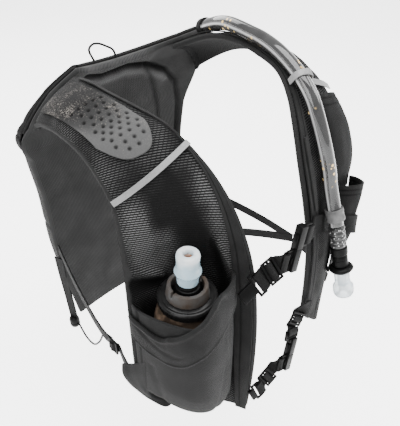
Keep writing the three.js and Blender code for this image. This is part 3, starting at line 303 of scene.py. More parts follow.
def place(piece, material, slot, *nodes):
    piece.data.materials.clear()
    piece.data.materials.append(material)
    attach(piece, "root")
    if nodes:
        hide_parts(*nodes)
    return piece


# One finish: a shader and short ways to add the nodes that drive it.
class Recipe:
    def __init__(self, name, roughness=0.8, sheen=0.0, coat=0.0, specular=0.08):
        self.material = bpy.data.materials.new(name)
        self.material.use_nodes = True
        self.tree = self.material.node_tree
        self.shader = self.tree.nodes["Principled BSDF"]
        self.fix(Roughness=roughness, Specular_IOR_Level=specular, Coat_Weight=coat, Coat_Roughness=0.12)
        self.fix(Sheen_Weight=sheen, Sheen_Roughness=0.4)
        self.coords = self.tree.nodes.new("ShaderNodeTexCoord")
        split = self.node("ShaderNodeSeparateXYZ", Vector=self.coords.outputs["UV"])
        self.u, self.v = split.outputs["X"], split.outputs["Y"]
        self.where = self.coords.outputs["Object"]

    def fix(self, **values):
        for key, value in values.items():
            self.shader.inputs[key.replace("_", " ")].default_value = value

    def feed(self, socket, value):
        if isinstance(value, bpy.types.NodeSocket):
            self.tree.links.new(value, socket)
        else:
            socket.default_value = value

    def node(self, kind, settings=None, **inputs):
        made = self.tree.nodes.new(kind)
        for key, value in (settings or {}).items():
            setattr(made, key, value)
        for key, value in inputs.items():
            self.feed(made.inputs[key.replace("_", " ")], value)
        return made

    def calc(self, kind, *values, clamp=False):
        made = self.node("ShaderNodeMath", {"operation": kind, "use_clamp": clamp})
        for socket, value in zip(made.inputs, values):
            self.feed(socket, value)
        return made.outputs[0]

    def times(self, first, second):
        return self.calc("MULTIPLY", first, second)

    def plus(self, first, second):
        return self.calc("ADD", first, second)

    def scaled(self, value, by, more, clamp=False):
        return self.calc("MULTIPLY_ADD", value, by, more, clamp=clamp)

    def mark(self, name):
        return self.node("ShaderNodeAttribute", {"attribute_name": name}).outputs["Fac"]

    def noise(self, scale, detail=4.0, roughness=0.55):
        made = self.node(
            "ShaderNodeTexNoise", Vector=self.where, Scale=scale, Detail=detail, Roughness=roughness,
        )
        return made.outputs["Fac"]

    def cells(self, scale):
        return self.node("ShaderNodeTexVoronoi", Vector=self.where, Scale=scale).outputs["Distance"]

    def threads(self, coordinate, pitch, shift=None, power=1.0):
        turn = self.times(coordinate, 2 * math.pi / pitch)
        if shift is not None:
            turn = self.plus(turn, shift)
        wave = self.scaled(self.calc("SINE", turn), 0.5, 0.5)
        return self.calc("POWER", wave, power) if power != 1 else wave

    def step(self, value, low, high):
        smooth = {"interpolation_type": "SMOOTHSTEP"}
        made = self.node("ShaderNodeMapRange", smooth, Value=value, From_Min=low, From_Max=high)
        return made.outputs["Result"]

    def dashes(self, value, outside, inside):
        away = self.calc("ABSOLUTE", self.calc("SUBTRACT", self.calc("FRACT", value), 0.5))
        return self.step(away, outside, inside)

    def ramp(self, factor, *stops):
        made = self.node("ShaderNodeValToRGB", Fac=factor)
        band = made.color_ramp.elements
        while len(band) < len(stops):
            band.new(0.5)
        for element, (position, color) in zip(band, stops):
            element.position = position
            element.color = (*color, 1) if len(color) == 3 else color
        return made.outputs["Color"]

    def paint(self, color):
        self.tree.links.new(color, self.shader.inputs["Base Color"])

    def gloss(self, roughness):
        self.tree.links.new(roughness, self.shader.inputs["Roughness"])

    def relief(self, height, distance):
        bump = self.node("ShaderNodeBump", Height=height, Distance=distance * mm, Strength=1.0)
        self.tree.links.new(bump.outputs["Normal"], self.shader.inputs["Normal"])

    def mixed(self, factor, first, second):
        made = self.node("ShaderNodeMix", {"data_type": "RGBA"})
        for socket, value in ((made.inputs[0], factor), (made.inputs[6], first), (made.inputs[7], second)):
            self.feed(socket, (*value, 1) if isinstance(value, tuple) else value)
        return made.outputs[2]


def grey(value, warm=0.0):
    return (value * (1 + warm), value, value * (1 - warm))


def dashedMesh():
    cloth = Recipe("dashedMesh", roughness=0.85)
    level = cloth.scaled(cloth.u, 0.3, cloth.v)
    row = cloth.plus(cloth.calc("DIVIDE", level, 2.15), cloth.times(cloth.noise(30, 2), 0.5))
    line = cloth.calc("FLOOR", row)
    rows = cloth.dashes(row, 0.3, 0.08)
    phase = cloth.plus(cloth.calc("DIVIDE", cloth.u, 2.9), cloth.times(line, 0.38))
    phase = cloth.plus(phase, cloth.times(cloth.noise(90, 2), 1.2))
    dash = cloth.dashes(phase, 0.5, 0.32)
    both = cloth.times(rows, cloth.scaled(dash, 0.75, 0.25))
    wear = cloth.step(cloth.noise(34, 4), 0.3, 0.7)
    seen = cloth.times(both, cloth.scaled(wear, 0.65, 0.35))
    # The dashes are darkened on the inner face and at the rim: painted shade.
    seen = cloth.times(seen, cloth.scaled(cloth.mark("inside"), -0.7, 1.0, clamp=True))
    # The shade mark darkens the mesh as painted shade; the glow mark lifts it as painted light.
    seen = cloth.times(seen, cloth.calc("SUBTRACT", 1.0, cloth.mark("shade"), clamp=True))
    seen = cloth.times(seen, cloth.scaled(cloth.mark("glow"), 1.0, 0.75))
    seen = cloth.scaled(cloth.mark("glow"), 0.22, seen)
    knit = cloth.ramp(seen, (0.0, grey(0.0024)), (0.3, grey(0.01)), (1.0, grey(0.085)))
    cloth.paint(cloth.mixed(cloth.step(cloth.mark("seam"), 0.3, 0.8), knit, grey(0.012)))
    fine = cloth.times(cloth.threads(cloth.u, 0.8), cloth.threads(cloth.v, 0.8))
    cloth.relief(cloth.scaled(both, 1.0, cloth.times(fine, 0.35)), 0.3)
    return cloth.material


def ribbedLining():
    cloth = Recipe("ribbedLining", roughness=0.72)
    ribs = cloth.threads(cloth.u, 1.6)
    cross = cloth.threads(cloth.v, 0.8)
    weave = cloth.times(ribs, cloth.scaled(cross, 0.25, 0.75))
    soft = cloth.times(cloth.noise(900, 2), 0.6)
    yoke = cloth.mark("yoke")
    height = cloth.plus(cloth.times(weave, cloth.calc("SUBTRACT", 1.0, yoke)),
                        cloth.times(soft, yoke))
    tone = cloth.scaled(cloth.noise(45, 4), 0.45, cloth.times(height, 0.45))
    # The glow mark lightens the lining as painted light, the shade mark darkens it as painted shade.
    tone = cloth.scaled(cloth.mark("glow"), 0.4, tone)
    tone = cloth.scaled(cloth.mark("shade"), -0.9, tone, clamp=True)
    cloth.paint(cloth.ramp(
        tone, (0.0, grey(0.001)), (0.3, grey(0.009)), (0.6, grey(0.022)), (1.0, grey(0.06)),
    ))
    cloth.relief(height, 0.35)
    return cloth.material


def packCloth():
    cloth = Recipe("packCloth", roughness=0.65)
    warp = cloth.threads(cloth.u, 0.5)
    weft = cloth.threads(cloth.v, 0.5, 1.6)
    box = cloth.calc("MAXIMUM", cloth.threads(cloth.u, 4.5, power=14), cloth.threads(cloth.v, 4.5, power=14))
    weave = cloth.scaled(box, 0.7, cloth.times(warp, weft))
    tone = cloth.scaled(cloth.noise(30, 5), 0.7, cloth.times(weave, 0.25))
    cloth.paint(cloth.ramp(tone, (0.2, grey(0.00288)), (0.55, grey(0.0072)), (0.9, grey(0.0149))))
    cloth.relief(weave, 0.22)
    return cloth.material


def softShell():
    cloth = Recipe("softShell", roughness=0.78, sheen=0.02)
    slant = cloth.plus(cloth.u, cloth.times(cloth.v, 1.4))
    twill = cloth.threads(slant, 0.9)
    fleck = cloth.noise(1400, 2, 0.7)
    cloud = cloth.noise(22, 3)
    tone = cloth.scaled(cloud, 0.5, cloth.scaled(fleck, 0.3, cloth.times(twill, 0.2)))
    tone = cloth.calc("SUBTRACT", tone, cloth.times(cloth.mark("seam"), 0.5), clamp=True)
    cloth.paint(cloth.ramp(tone, (0.25, grey(0.0018)), (0.5, grey(0.0065)), (0.8, grey(0.024))))
    cloth.relief(cloth.plus(twill, fleck), 0.16)
    return cloth.material


def patchKnit():
    cloth = Recipe("patchKnit", roughness=0.85)
    fleck = cloth.noise(800, 3, 0.75)
    cloud = cloth.noise(60, 3)
    hole = cloth.mark("hole")
    fade = cloth.step(cloth.mark("fade"), 0.35, 0.8)
    spots = cloth.step(cloth.scaled(cloud, 0.5, cloth.calc("SUBTRACT", fleck, 0.25)), 0.56, 0.72)
    spots = cloth.times(spots, cloth.scaled(fade, -0.75, 1.0))
    plain = cloth.ramp(cloth.scaled(fade, 0.8, cloth.times(fleck, 0.3)),
                       (0.1, grey(0.006)), (0.6, grey(0.022)), (1.0, grey(0.05)))
    ground = cloth.mixed(spots, plain, grey(0.12, 0.1))
    # The holes are painted near black: partly the dark strap under them, partly painted shade in the dents.
    cloth.paint(cloth.mixed(cloth.times(hole, 0.9), ground, grey(0.003)))
    cloth.relief(fleck, 0.3)
    return cloth.material


def edgeTape():
    cloth = Recipe("edgeTape", roughness=0.75, sheen=0.02)
    ribs = cloth.threads(cloth.u, 0.7)
    picks = cloth.threads(cloth.v, 0.6)
    weave = cloth.times(ribs, picks)
    line = cloth.mark("seam")
    tone = cloth.scaled(weave, 0.35, cloth.times(cloth.noise(70, 4), 0.6))
    ground = cloth.ramp(tone, (0.15, grey(0.00486)), (0.5, grey(0.0121)), (0.85, grey(0.0231)))
    cloth.paint(cloth.mixed(line, ground, grey(0.000729)))
    cloth.relief(weave, 0.22)
    return cloth.material


def glassTape():
    tape = Recipe("glassTape", roughness=0.38, specular=0.7)
    bead = tape.cells(1900)
    tone = tape.scaled(tape.noise(35, 3), 0.6, tape.times(bead, 0.5))
    tape.paint(tape.ramp(tone, (0.2, grey(0.0726)), (0.5, grey(0.112)), (0.85, grey(0.165))))
    tape.relief(bead, 0.12)
    return tape.material


def webbing():
    web = Recipe("webbing", roughness=0.66)
    ribs = web.threads(web.u, 1.3)
    slant = web.plus(web.v, web.times(web.calc("ABSOLUTE", web.u), 0.6))
    picks = web.threads(slant, 0.9)
    weave = web.times(ribs, picks)
    tone = web.scaled(weave, 0.6, web.times(web.noise(90, 3), 0.4))
    web.paint(web.ramp(tone, (0.15, grey(0.0014)), (0.5, grey(0.0044)), (0.85, grey(0.014))))
    web.relief(weave, 0.3)
    return web.material


def braid():
    cord = Recipe("braid", roughness=0.6)
    first = cord.threads(cord.plus(cord.u, cord.v), 1.1)
    second = cord.threads(cord.calc("SUBTRACT", cord.u, cord.v), 1.1)
    plait = cord.calc("MAXIMUM", first, second)
    cord.paint(cord.ramp(plait, (0.3, grey(0.0015)), (0.9, grey(0.0125))))
    cord.relief(plait, 0.25)
    return cord.material


def mouldedPlastic(name, dark, light, roughness, coat, tint=None):
    part = Recipe(name, roughness=roughness, coat=coat, specular=0.05)
    grain = part.noise(2600, 2, 0.6)
    cloud = part.noise(110, 3)
    part.paint(part.ramp(cloud, (0.3, tint or grey(dark)), (0.7, grey(light))))
    part.gloss(part.scaled(cloud, 0.18, roughness - 0.08))
    part.relief(grain, 0.05)
    return part.material


def valveSilicone(name, low, high, heightLow, heightHigh):
    rubber = Recipe(name, roughness=0.16, coat=0.4, specular=0.5)
    rubber.fix(Transmission_Weight=0.55, IOR=1.15)
    place = rubber.node("ShaderNodeSeparateXYZ", Vector=rubber.where).outputs["Z"]
    climb = rubber.node("ShaderNodeMapRange", Value=place, From_Min=heightLow * mm, From_Max=heightHigh * mm)
    cloud = rubber.scaled(rubber.noise(120, 1), 0.6, -0.3)
    mix = rubber.plus(climb.outputs["Result"], cloud)
    rubber.paint(rubber.ramp(mix, (0.0, low), (0.45, high), (0.6, low), (0.8, high)))
    return rubber.material


def flaskFilm():
    film = Recipe("flaskFilm", roughness=0.32, coat=0.3)
    cloud = film.noise(50, 4)
    # The film is painted near black as the shadow inside the pocket, with tan patches of painted reflection.
    film.paint(film.ramp(
        cloud, (0.3, (0.012, 0.009, 0.007)), (0.55, (0.035, 0.025, 0.018)), (0.8, (0.3, 0.21, 0.15)),
    ))
    film.relief(film.noise(180, 3), 0.3)
    return film.material


def clearHose():
    tube = Recipe("clearHose", roughness=0.07, coat=0.4, specular=0.5)
    tube.fix(Transmission_Weight=0.35, IOR=1.4)
    spread = tube.step(tube.noise(34, 1), 0.56, 0.62)
    drops = tube.times(tube.step(tube.cells(210), 0.34, 0.22), spread)
    girth = 40.2
    # Thin pale lines at fixed turns round the hose are painted highlights.
    paintedHighlight = tube.calc(
        "MAXIMUM", tube.threads(tube.u, girth / 2, 1.2, 30), tube.threads(tube.u, girth, 3.4, 90),
    )
    ground = tube.ramp(tube.noise(40, 3), (0.3, grey(0.014)), (0.6, grey(0.035)), (0.8, grey(0.09)))
    ground = tube.mixed(tube.times(paintedHighlight, 0.8), ground, grey(0.55))
    tube.paint(tube.mixed(drops, ground, (0.9, 0.62, 0.25)))
    return tube.material


def ribbedSleeve():
    sleeve = Recipe("ribbedSleeve", roughness=0.3, coat=0.4)
    dots = sleeve.step(sleeve.cells(420), 0.3, 0.12)
    ground = sleeve.ramp(sleeve.noise(60, 3), (0.3, grey(0.012)), (0.7, grey(0.05)))
    sleeve.paint(sleeve.mixed(dots, ground, grey(0.6)))
    sleeve.relief(dots, 0.2)
    return sleeve.material


finishes = {
    "mesh": dashedMesh(),
    "lining": ribbedLining(),
    "shell": packCloth(),
    "stretch": softShell(),
    "patch": patchKnit(),
    "binding": edgeTape(),
    "reflective": glassTape(),
    "webbing": webbing(),
    "braid": braid(),
    "plastic": mouldedPlastic("glossPlastic", 0.0015, 0.003, 0.42, 0.03),
    "copper": mouldedPlastic("valveGlow", 0.02, 0.05, 0.25, 0.3, (0.16, 0.07, 0.035)),
    "cap": mouldedPlastic("capPlastic", 0.003, 0.007, 0.28, 0.12),
    "ring": mouldedPlastic("lockRing", 0.02, 0.04, 0.5, 0.0, (0.03, 0.022, 0.017)),
    "flask": flaskFilm(),
    "hose": clearHose(),
    "sleeve": ribbedSleeve(),
    "valve": valveSilicone("flaskValve", (0.42, 0.56, 0.63), (0.85, 0.86, 0.86), -84, -56),
    "keeper": mouldedPlastic("keeperRubber", 0.05, 0.11, 0.36, 0.15),
    "mouth": valveSilicone("hoseValve", (0.5, 0.56, 0.6), (0.72, 0.75, 0.76), -190, -160),
}
print("materials ready")

# The camera looks down on the right side of the chest.
view = {"from": (-339.0, -412.9, 247.1), "to": (6, -16, -135), "lens": 59.155}
cameraData = bpy.data.cameras.new("photoView")
cameraData.lens = view["lens"]
cameraData.sensor_width = 36
camera = bpy.data.objects.new("photoView", cameraData)
bpy.context.collection.objects.link(camera)
camera.location = Vector(view["from"]) * mm
aim = Vector(view["to"]) - Vector(view["from"])
camera.rotation_euler = aim.to_track_quat("-Z", "Y").to_euler()
bpy.context.scene.camera = camera

softLights = {
    "overhead": {"at": (-60, -150, 1000), "size": 1.1, "power": 40},
    "left": {"at": (-900, -350, 350), "size": 0.6, "power": 9},
    "right": {"at": (700, -500, 450), "size": 0.5, "power": 9},
    "behind": {"at": (200, 900, 500), "size": 0.8, "power": 14},
}
for name, values in softLights.items():
    lamp = bpy.data.lights.new(name, "AREA")
    lamp.size = values["size"]
    lamp.energy = values["power"]
    light = bpy.data.objects.new(name, lamp)
    bpy.context.collection.objects.link(light)
    light.location = Vector(values["at"]) * mm
    aim = Vector((0, 0, -0.14)) - light.location
    light.rotation_euler = aim.to_track_quat("-Z", "Y").to_euler()

world = bpy.data.worlds.new("studio")
bpy.context.scene.world = world
world.use_nodes = True
world.node_tree.nodes["Background"].inputs["Color"].default_value = (1, 1, 1, 1)
world.node_tree.nodes["Background"].inputs["Strength"].default_value = 1.15

floorHeight = -0.42
bpy.ops.mesh.primitive_plane_add(size=6, location=(0, 0, floorHeight))
floor = bpy.context.object
floor.name = "floor"
ground = Recipe("paleFloor", roughness=0.9)
ground.paint(ground.ramp(ground.noise(3, 2), (0.3, grey(0.9)), (0.7, grey(0.92))))
ground.fix(Emission_Color=(1, 1, 1, 1), Emission_Strength=2.4)
floor.data.materials.append(ground.material)
print("camera and lights ready")

# The hose leaves its sleeve at the collar and hangs down the left panel.
hose = {
    "radius": 6.4, "bore": 4.9,
    "route": [
        (72, 53, 7.4), (69, 39, 14.6), (66.5, 25.5, 20.4), (65, 12.5, 23.6), (64, -2, 24.2), (64, -14, 23.6),
        (64.5, -27.5, 22.4), (62, -50.5, 18.6), (60.5, -72.4, 8.9), (60, -88.6, -5.4), (60, -95.9, -17.4),
        (61.8, -104.9, -40.3), (65.2, -110.7, -64.3), (67.4, -113.6, -82.6), (68, -118, -98),
        (68, -122.3, -109.5), (68.2, -124.5, -118),
    ],
}


def routeLength(route):
    line = evenly(route, 400)
    return float(np.linalg.norm(np.diff(line, axis=0), axis=1).sum())


hoseTube, hoseLine = roundPiece(
    "hoseTube", hose["route"], hose["radius"], sides=36, count=180, bore=hose["bore"],
)
place(hoseTube, finishes["hose"], "hose", "hose")
hoseEnd = np.array(hose["route"][-1], float)
hoseAxis = unit(hoseEnd - np.array(hose["route"][-2], float))


def hosePart(name, profile, material, slot, node, open=False):
    piece = turnedPiece(name, profile, hoseEnd, hoseAxis, open=open)
    return place(piece, material, slot, node)


ribs = {"first": 0.8, "pitch": 4, "count": 5, "end": 20.8}
ribProfile = [(6.4, 0), (6.9, 0.5), (7.2, 2), (6.9, 3.3), (6.4, 3.8)]
ribRows = []
for k in range(ribs["count"]):
    ribRows += [(radius, ribs["first"] + ribs["pitch"] * k + height) for radius, height in ribProfile]
ribRows.append((ribProfile[0][0], ribs["end"]))
ferrule = hosePart("hoseFerrule", ribRows, finishes["sleeve"], "hose", "hose_ferrule")
valveBody = hosePart("hoseValveBody", [
    (6.6, 21.2), (7.5, 21.8), (7.6, 27), (7.4, 28), (6.7, 28.6), (6.6, 29.2), (6.9, 29.8), (6.9, 33),
    (6.5, 33.5), (6.9, 34), (6.9, 39.6), (6.4, 40.2),
], finishes["plastic"], "plastic", "hose_valve_body")
flange = hosePart("hoseValveFlange", [
    (8.4, 40.6), (9.6, 41), (10.8, 42.4), (11, 43.1), (10.8, 43.8), (9.6, 45.2), (8.6, 45.6),
], finishes["plastic"], "plastic", "hose_valve_flange")
biteValve = hosePart("hoseBiteValve", [
    (3.4, 46), (6.4, 46), (7, 46.6), (7, 52), (6.8, 54), (7, 58.5), (8.2, 60), (9.2, 61.5), (9.4, 64),
    (9.4, 67), (9, 69), (8, 70.8), (6.4, 71), (4.2, 70.6), (3.4, 69.6), (3.4, 46),
], finishes["mouth"], "silicone", "hose_bite_valve", open=True)
routeLength(hose["route"]) * mm

loopRoute = [
    (-34, 77.5, -5), (-36, 82, 5.5), (-33, 81.5, 9.4), (-26, 82.5, 8.5), (-18, 82.5, 4), (-12, 81.5, -0.5),
    (-8.5, 82, -9),
]
sideRoute = [
    (-78.9, 88, -301), (-82, 70, -304), (-88, 45, -292), (-96, 18, -262), (-105, -6, -228),
    (-110.8, -20.4, -211.2),
]
threadRadius = 1.0
for name, route, node, lay in (
    ("hangLoop", loopRoute, "hang_loop", "loose"),
    ("sideCord", sideRoute, "side_cord_right", "hanging"),
):
    thread, line = roundPiece(name, route, threadRadius, sides=14, count=90)
    place(thread, finishes["braid"], "webbing", node)
    routeLength(route) * mm
print("hose and cords ready", [round(routeLength(r), 1) for r in (hose["route"], loopRoute, sideRoute)])

# Rows run from the collar down: edges as shares of half, depth as a share of reach.
back = {
    "half": 120, "reach": 100, "height": 285, "thickness": 6, "bow": 8, "dip": 7,
    "drop": [0.016, 0.085, 0.185, 0.3, 0.48, 0.68, 0.85, 0.985],
    "right": [0.46, 0.66, 0.83, 0.83, 0.76, 0.73, 0.685, 0.63],
    "left": [0.72, 0.77, 0.725, 0.635, 0.6, 0.63, 0.66, 0.61],
    "depth": [0.72, 0.81, 0.87, 0.93, 0.95, 0.93, 0.89, 0.85],
    "slot": [0.5, 0.5, 0.5, 0.2, 0, 0, 0, 0],
    "bag": [0.02, 0.12, 0.35, 0.75, 0.95, 1, 0.8, 0.25],
    "mouth": 13, "bagDepth": 30, "square": 0.4, "inset": 1.5,
}
backRead = {name: column(back[name]) for name in ("drop", "right", "left", "depth", "slot", "bag")}


def backHalf(x, v):
    return np.where(x < 0, backRead["right"](v), backRead["left"](v)) * back["half"]


def backPoint(x, v):
    bow = np.maximum(1 - (x / backHalf(x, v)) ** 2, 0)
    y = backRead["depth"](v) * back["reach"] + back["bow"] * bow
    z = -backRead["drop"](v) * back["height"] - back["dip"] * bow * (1 - v) ** 6
    return np.stack([x, y, z], -1)


# Half of the back panel's depth, measured straight back through its slope.
def backHalfDepth(x, v):
    below, above = backPoint(x, np.minimum(v + 0.01, 1)), backPoint(x, np.maximum(v - 0.01, 0))
    slope = (below[..., 1] - above[..., 1]) / (below[..., 2] - above[..., 2])
    turn = -2 * back["bow"] * x / backHalf(x, v) ** 2
    return back["thickness"] / 2 * np.sqrt(1 + slope**2 + turn**2)


folds = {
    "collar": [
        (-44, -14), (-27, -20), (-10, -20), (2, -19), (25, -24.5), (50, -39), (64.5, -56), (69.5, -81.5),
        (69, -101), (66, -135),
    ],
    "pad": [(25, -28), (33, -40), (39, -54), (46, -82), (48, -108)],
    "width": 2.3, "depth": 3.4, "padDepth": 1.4, "slack": 0.5, "sink": 0.6,
    "roll": {"rise": 2.6, "up": 7, "width": 5.5}, "swell": {"rise": 2.2, "down": 9, "width": 8},
}


def foldLine(x, z, points, width):
    pairs = zip(points, points[1:])
    return np.max([groove(x, z, *start, *end, width) for start, end in pairs], axis=0)


u, v = grid(150, 170)
x = (2 * u - 1) * backHalf(2 * u - 1, v)
sheet = backPoint(x, v)
z = sheet[..., 2]
arc, pad = foldLine(x, z, folds["collar"], folds["width"]), foldLine(x, z, folds["pad"], folds["width"])
roll, swell = folds["roll"], folds["swell"]
relief = -folds["depth"] * arc - folds["padDepth"] * pad
above = foldLine(x, z + roll["up"], folds["collar"][:6], roll["width"])
below = foldLine(x, z - swell["down"], folds["collar"][:5], swell["width"])
relief += roll["rise"] * above * (1 - arc) + swell["rise"] * below * (1 - arc) * (1 - pad)
relief += folds["slack"] * ripples(u, v, 3, low=1, high=5) - folds["sink"]
relief += 0.25 * np.sin(x * 2.2) * bell(x, 5, 45) * bell(z, -40, 55)
relief = np.clip(relief, -3.8, 2.6)
border = np.interp(z, [-135, -101, -81.5, -56, -39, -24.5], [66, 69, 69.5, 64.5, 50, 25])
yoke = 1 / (1 + np.exp(-(x - border) / 1.5))
# Painted shadow along the collar fold and the pad fold, and painted light on the roll above the collar fold
# and the swell below it.
shadow = np.clip(0.75 * arc * np.interp(x, [-44, 0, 40, 62], [1, 1, 1, 0.35]) + 0.3 * pad, 0, 1)
glow = np.clip(above * 1.1 + 0.55 * below, 0, 1) * (1 - shadow)
backPanel = clothPiece(
    "backPanel", sheet, back["thickness"], -1, relief, marks={"yoke": yoke, "shade": shadow, "glow": glow},
)
place(backPanel, finishes["lining"], "lining", "back_panel")


# The bag rises off the back panel, squarer than an arc, with a slot at its mouth.
def bagPoint(u, v):
    c, s = -np.cos(np.pi * u), np.sin(np.pi * u)
    half = backHalf(c, v) - back["inset"]
    x = np.sign(c) * half * np.abs(c) ** back["square"]
    rise = backRead["slot"](v) * back["mouth"]
    rise = rise + backRead["bag"](v) * back["bagDepth"] * np.abs(s) ** back["square"]
    base = backPoint(x, v)
    base[..., 1] += backHalfDepth(x, v) + 0.4 + np.maximum(rise, 0)
    return base


u, v = grid(210, 190)
sheet = bagPoint(u, v)
crease = 0.9 * ripples(u, v, 11, low=1, high=6) * np.sin(np.pi * u) ** 0.5
for seamAt in (0.33, 0.66):
    crease = crease - 1.1 * bell(v, seamAt, 0.006)
packShell = clothPiece("packShell", sheet, 1.6, 1, crease)
place(packShell, finishes["shell"], "shell", "pack_shell")

rim = {"down": 0.31, "width": 9, "thickness": 3.6, "forward": 3.4, "inward": 2.9}
# The rim goes up one side of the bag's mouth, across it and down the other.
steps = 6
stations = [(0, rim["down"] * (1 - k / steps)) for k in range(steps)]
stations += [(k / (2 * steps), 0) for k in range(2 * steps + 1)]
stations += [(1, rim["down"] * k / steps) for k in range(1, steps + 1)]
rimU, rimV = np.array(stations, float).T
path = bagPoint(rimU, rimV)
outward = []
for k, point in enumerate(path):
    before, after = path[max(k - 1, 0)], path[min(k + 1, len(path) - 1)]
    flat = unit(np.array([-(after[2] - before[2]), 0, after[0] - before[0]]))
    px, pv = np.array(point[0]), np.array(rimV[k])
    here, below, inner = backPoint(px, pv), backPoint(px, pv + 0.02), backPoint(px * 0.96, pv)
    lean = (inner[1] - here[1]) / (inner[0] - here[0]) if abs(point[0]) > 1 else 0
    flat[1] = flat[0] * lean + flat[2] * (below[1] - here[1]) / (below[2] - here[2])
    outward.append(unit(flat))
outward = np.array(outward)
centres = path - np.array([0, rim["forward"], 0]) - outward * rim["inward"]
packRim = strapPiece("packRim", centres, outward, rim["width"], rim["thickness"], count=260, edge=-0.35)
place(packRim, finishes["shell"], "shell", "pack_rim")
print("back panel and bag ready")

# Each row is the neck edge and the arm edge (across, forward, down), then the crown.
shoulderRows = {
    "right": [
        (.5, -.74, .035, .8, -.84, .17, .1), (.545, -.32, .005, .89, -.47, .1, .25),
        (.56, -.05, .002, .95, -.1, .06, .3), (.5, .18, .018, .96, .16, .067, .25),
        (.45, .39, .039, .96, .3, .095, .25), (.385, .62, .1, .955, .45, .158, .1),
        (.34, .79, .18, .97, .535, .24, -.1), (.285, .89, .287, .99, .59, .328, -.42),
        (.24, .95, .41, 1.01, .635, .43, -.8), (.21, .98, .6, 1.01, .65, .56, -1),
        (.215, .985, .8, 1, .65, .69, -.95), (.235, .96, .995, .97, .64, .81, -.2),
    ],
    "left": [
        (.42, -.74, .045, .7, -.84, .16, .35), (.49, -.32, -.03, .86, -.45, .065, .12),
        (.52, -.05, -.045, .93, -.1, .045, .15), (.505, .22, -.038, .93, .15, .045, .25),
        (.475, .43, -.02, .92, .34, .055, .25), (.4, .605, .02, .93, .49, .1, .2),
        (.33, .735, .085, .965, .59, .17, .15), (.305, .825, .182, 1, .67, .26, .1),
        (.32, .895, .31, .985, .715, .385, .05), (.34, .94, .44, .93, .75, .525, .1),
        (.365, .94, .6, .81, .775, .7, .2), (.41, .9, .775, .73, .8, .915, .1),
    ],
}
panelSizes = {
    "half": 120, "front": 125, "back": 100, "height": 285, "crown": 25, "thickness": 5, "gap": 0.4,
    "sewnRows": 22,
}


# A panel between its neck edge and its arm edge: s runs across, t from the back over to the front.
class ShoulderPanel:
    def __init__(self, rows, side):
        self.side = side
        table = np.array(rows, float)
        reach = lambda share: np.where(share > 0, -share * panelSizes["front"], -share * panelSizes["back"])
        half, height = side * panelSizes["half"], panelSizes["height"]
        edge = lambda k: smoothCurve(np.stack([
            table[:, k] * half, reach(table[:, k + 1]), -table[:, k + 2] * height,
        ], -1))
        self.neck, self.arm, self.crown = edge(0), edge(3), column(table[:, 6])

    def flat(self, s, t):
        share = np.asarray(s, float)[..., None]
        return self.neck(t) * (1 - share) + self.arm(t) * share

    def dish(self, s, t):
        return self.crown(t) * panelSizes["crown"] * 4 * s * (1 - s)

    def chord(self, s, t, height):
        s, t = np.broadcast_arrays(np.asarray(s, float), np.asarray(t, float))
        half = np.full(t.shape, 0.5)
        ahead = self.flat(half, np.minimum(t + 0.01, 1)) - self.flat(half, np.maximum(t - 0.01, 0))
        normal = unit(np.cross(self.arm(t) - self.neck(t), ahead)) * -self.side
        return self.flat(s, t) + normal * np.asarray(height)[..., None]

    def at(self, s, t):
        return self.chord(s, t, self.dish(s, t))

    def axes(self, s, t):
        across = self.at(np.minimum(s + 0.01, 1), t) - self.at(np.maximum(s - 0.01, 0), t)
        along = self.at(s, np.minimum(t + 0.01, 1)) - self.at(s, np.maximum(t - 0.01, 0))
        return unit(across), unit(along), unit(np.cross(across, along)) * -self.side

    def place(self, s, t, height):
        s, t = np.broadcast_arrays(np.asarray(s, float), np.asarray(t, float))
        return self.at(s, t) + self.axes(s, t)[2] * np.asarray(height)[..., None]


panels = {name: ShoulderPanel(rows, -1 if name == "right" else 1) for name, rows in shoulderRows.items()}


def restHeight(thickness):
    return panelSizes["thickness"] / 2 + panelSizes["gap"] + thickness / 2


# How far forward the back panel's front face is, at a place and height.
def backFrontFace(x, z):
    low, high = np.zeros_like(x), np.ones_like(x)
    for _ in range(26):
        middle = (low + high) / 2
        above = backPoint(x, middle)[..., 2] > z
        low, high = np.where(above, middle, low), np.where(above, high, middle)
    middle = (low + high) / 2
    return backPoint(x, middle)[..., 1] - backHalfDepth(x, middle)


# Each fold runs from one (across, along) to another, then its width and its depth or share. The shade rows
# paint shade and the glow rows paint light onto the mesh.
panelFolds = {
    "right": {
        "raised": [(0.98, 0.655, 0.7, 0.705, 0.016, 3.2), (0.2, 0.655, 0.12, 0.74, 0.02, 2.6)],
        "pressed": [(0.98, 0.69, 0.7, 0.73, 0.02, 2.6), (0.26, 0.66, 0.19, 0.75, 0.022, 2.4)],
        "shade": [
            (0.62, 0.51, 0.38, 0.49, 0.045, 1), (0.36, 0.5, 0.33, 0.62, 0.06, 1),
            (0.4, 0.6, 0.48, 0.72, 0.09, 1), (0.7, 0.54, 0.5, 0.54, 0.04, 0.6),
            (0.95, 0.695, 0.6, 0.74, 0.02, 1), (0.25, 0.67, 0.2, 0.76, 0.03, 1),
        ],
        "glow": [(0.85, 0.58, 0.66, 0.66, 0.12, 0.8), (0.12, 0.55, 0.14, 0.68, 0.08, 0.8)],
    },
    "left": {"raised": [], "pressed": [(0.25, 0.93, 0.6, 0.97, 0.02, 1.2)], "shade": [], "glow": []},
}
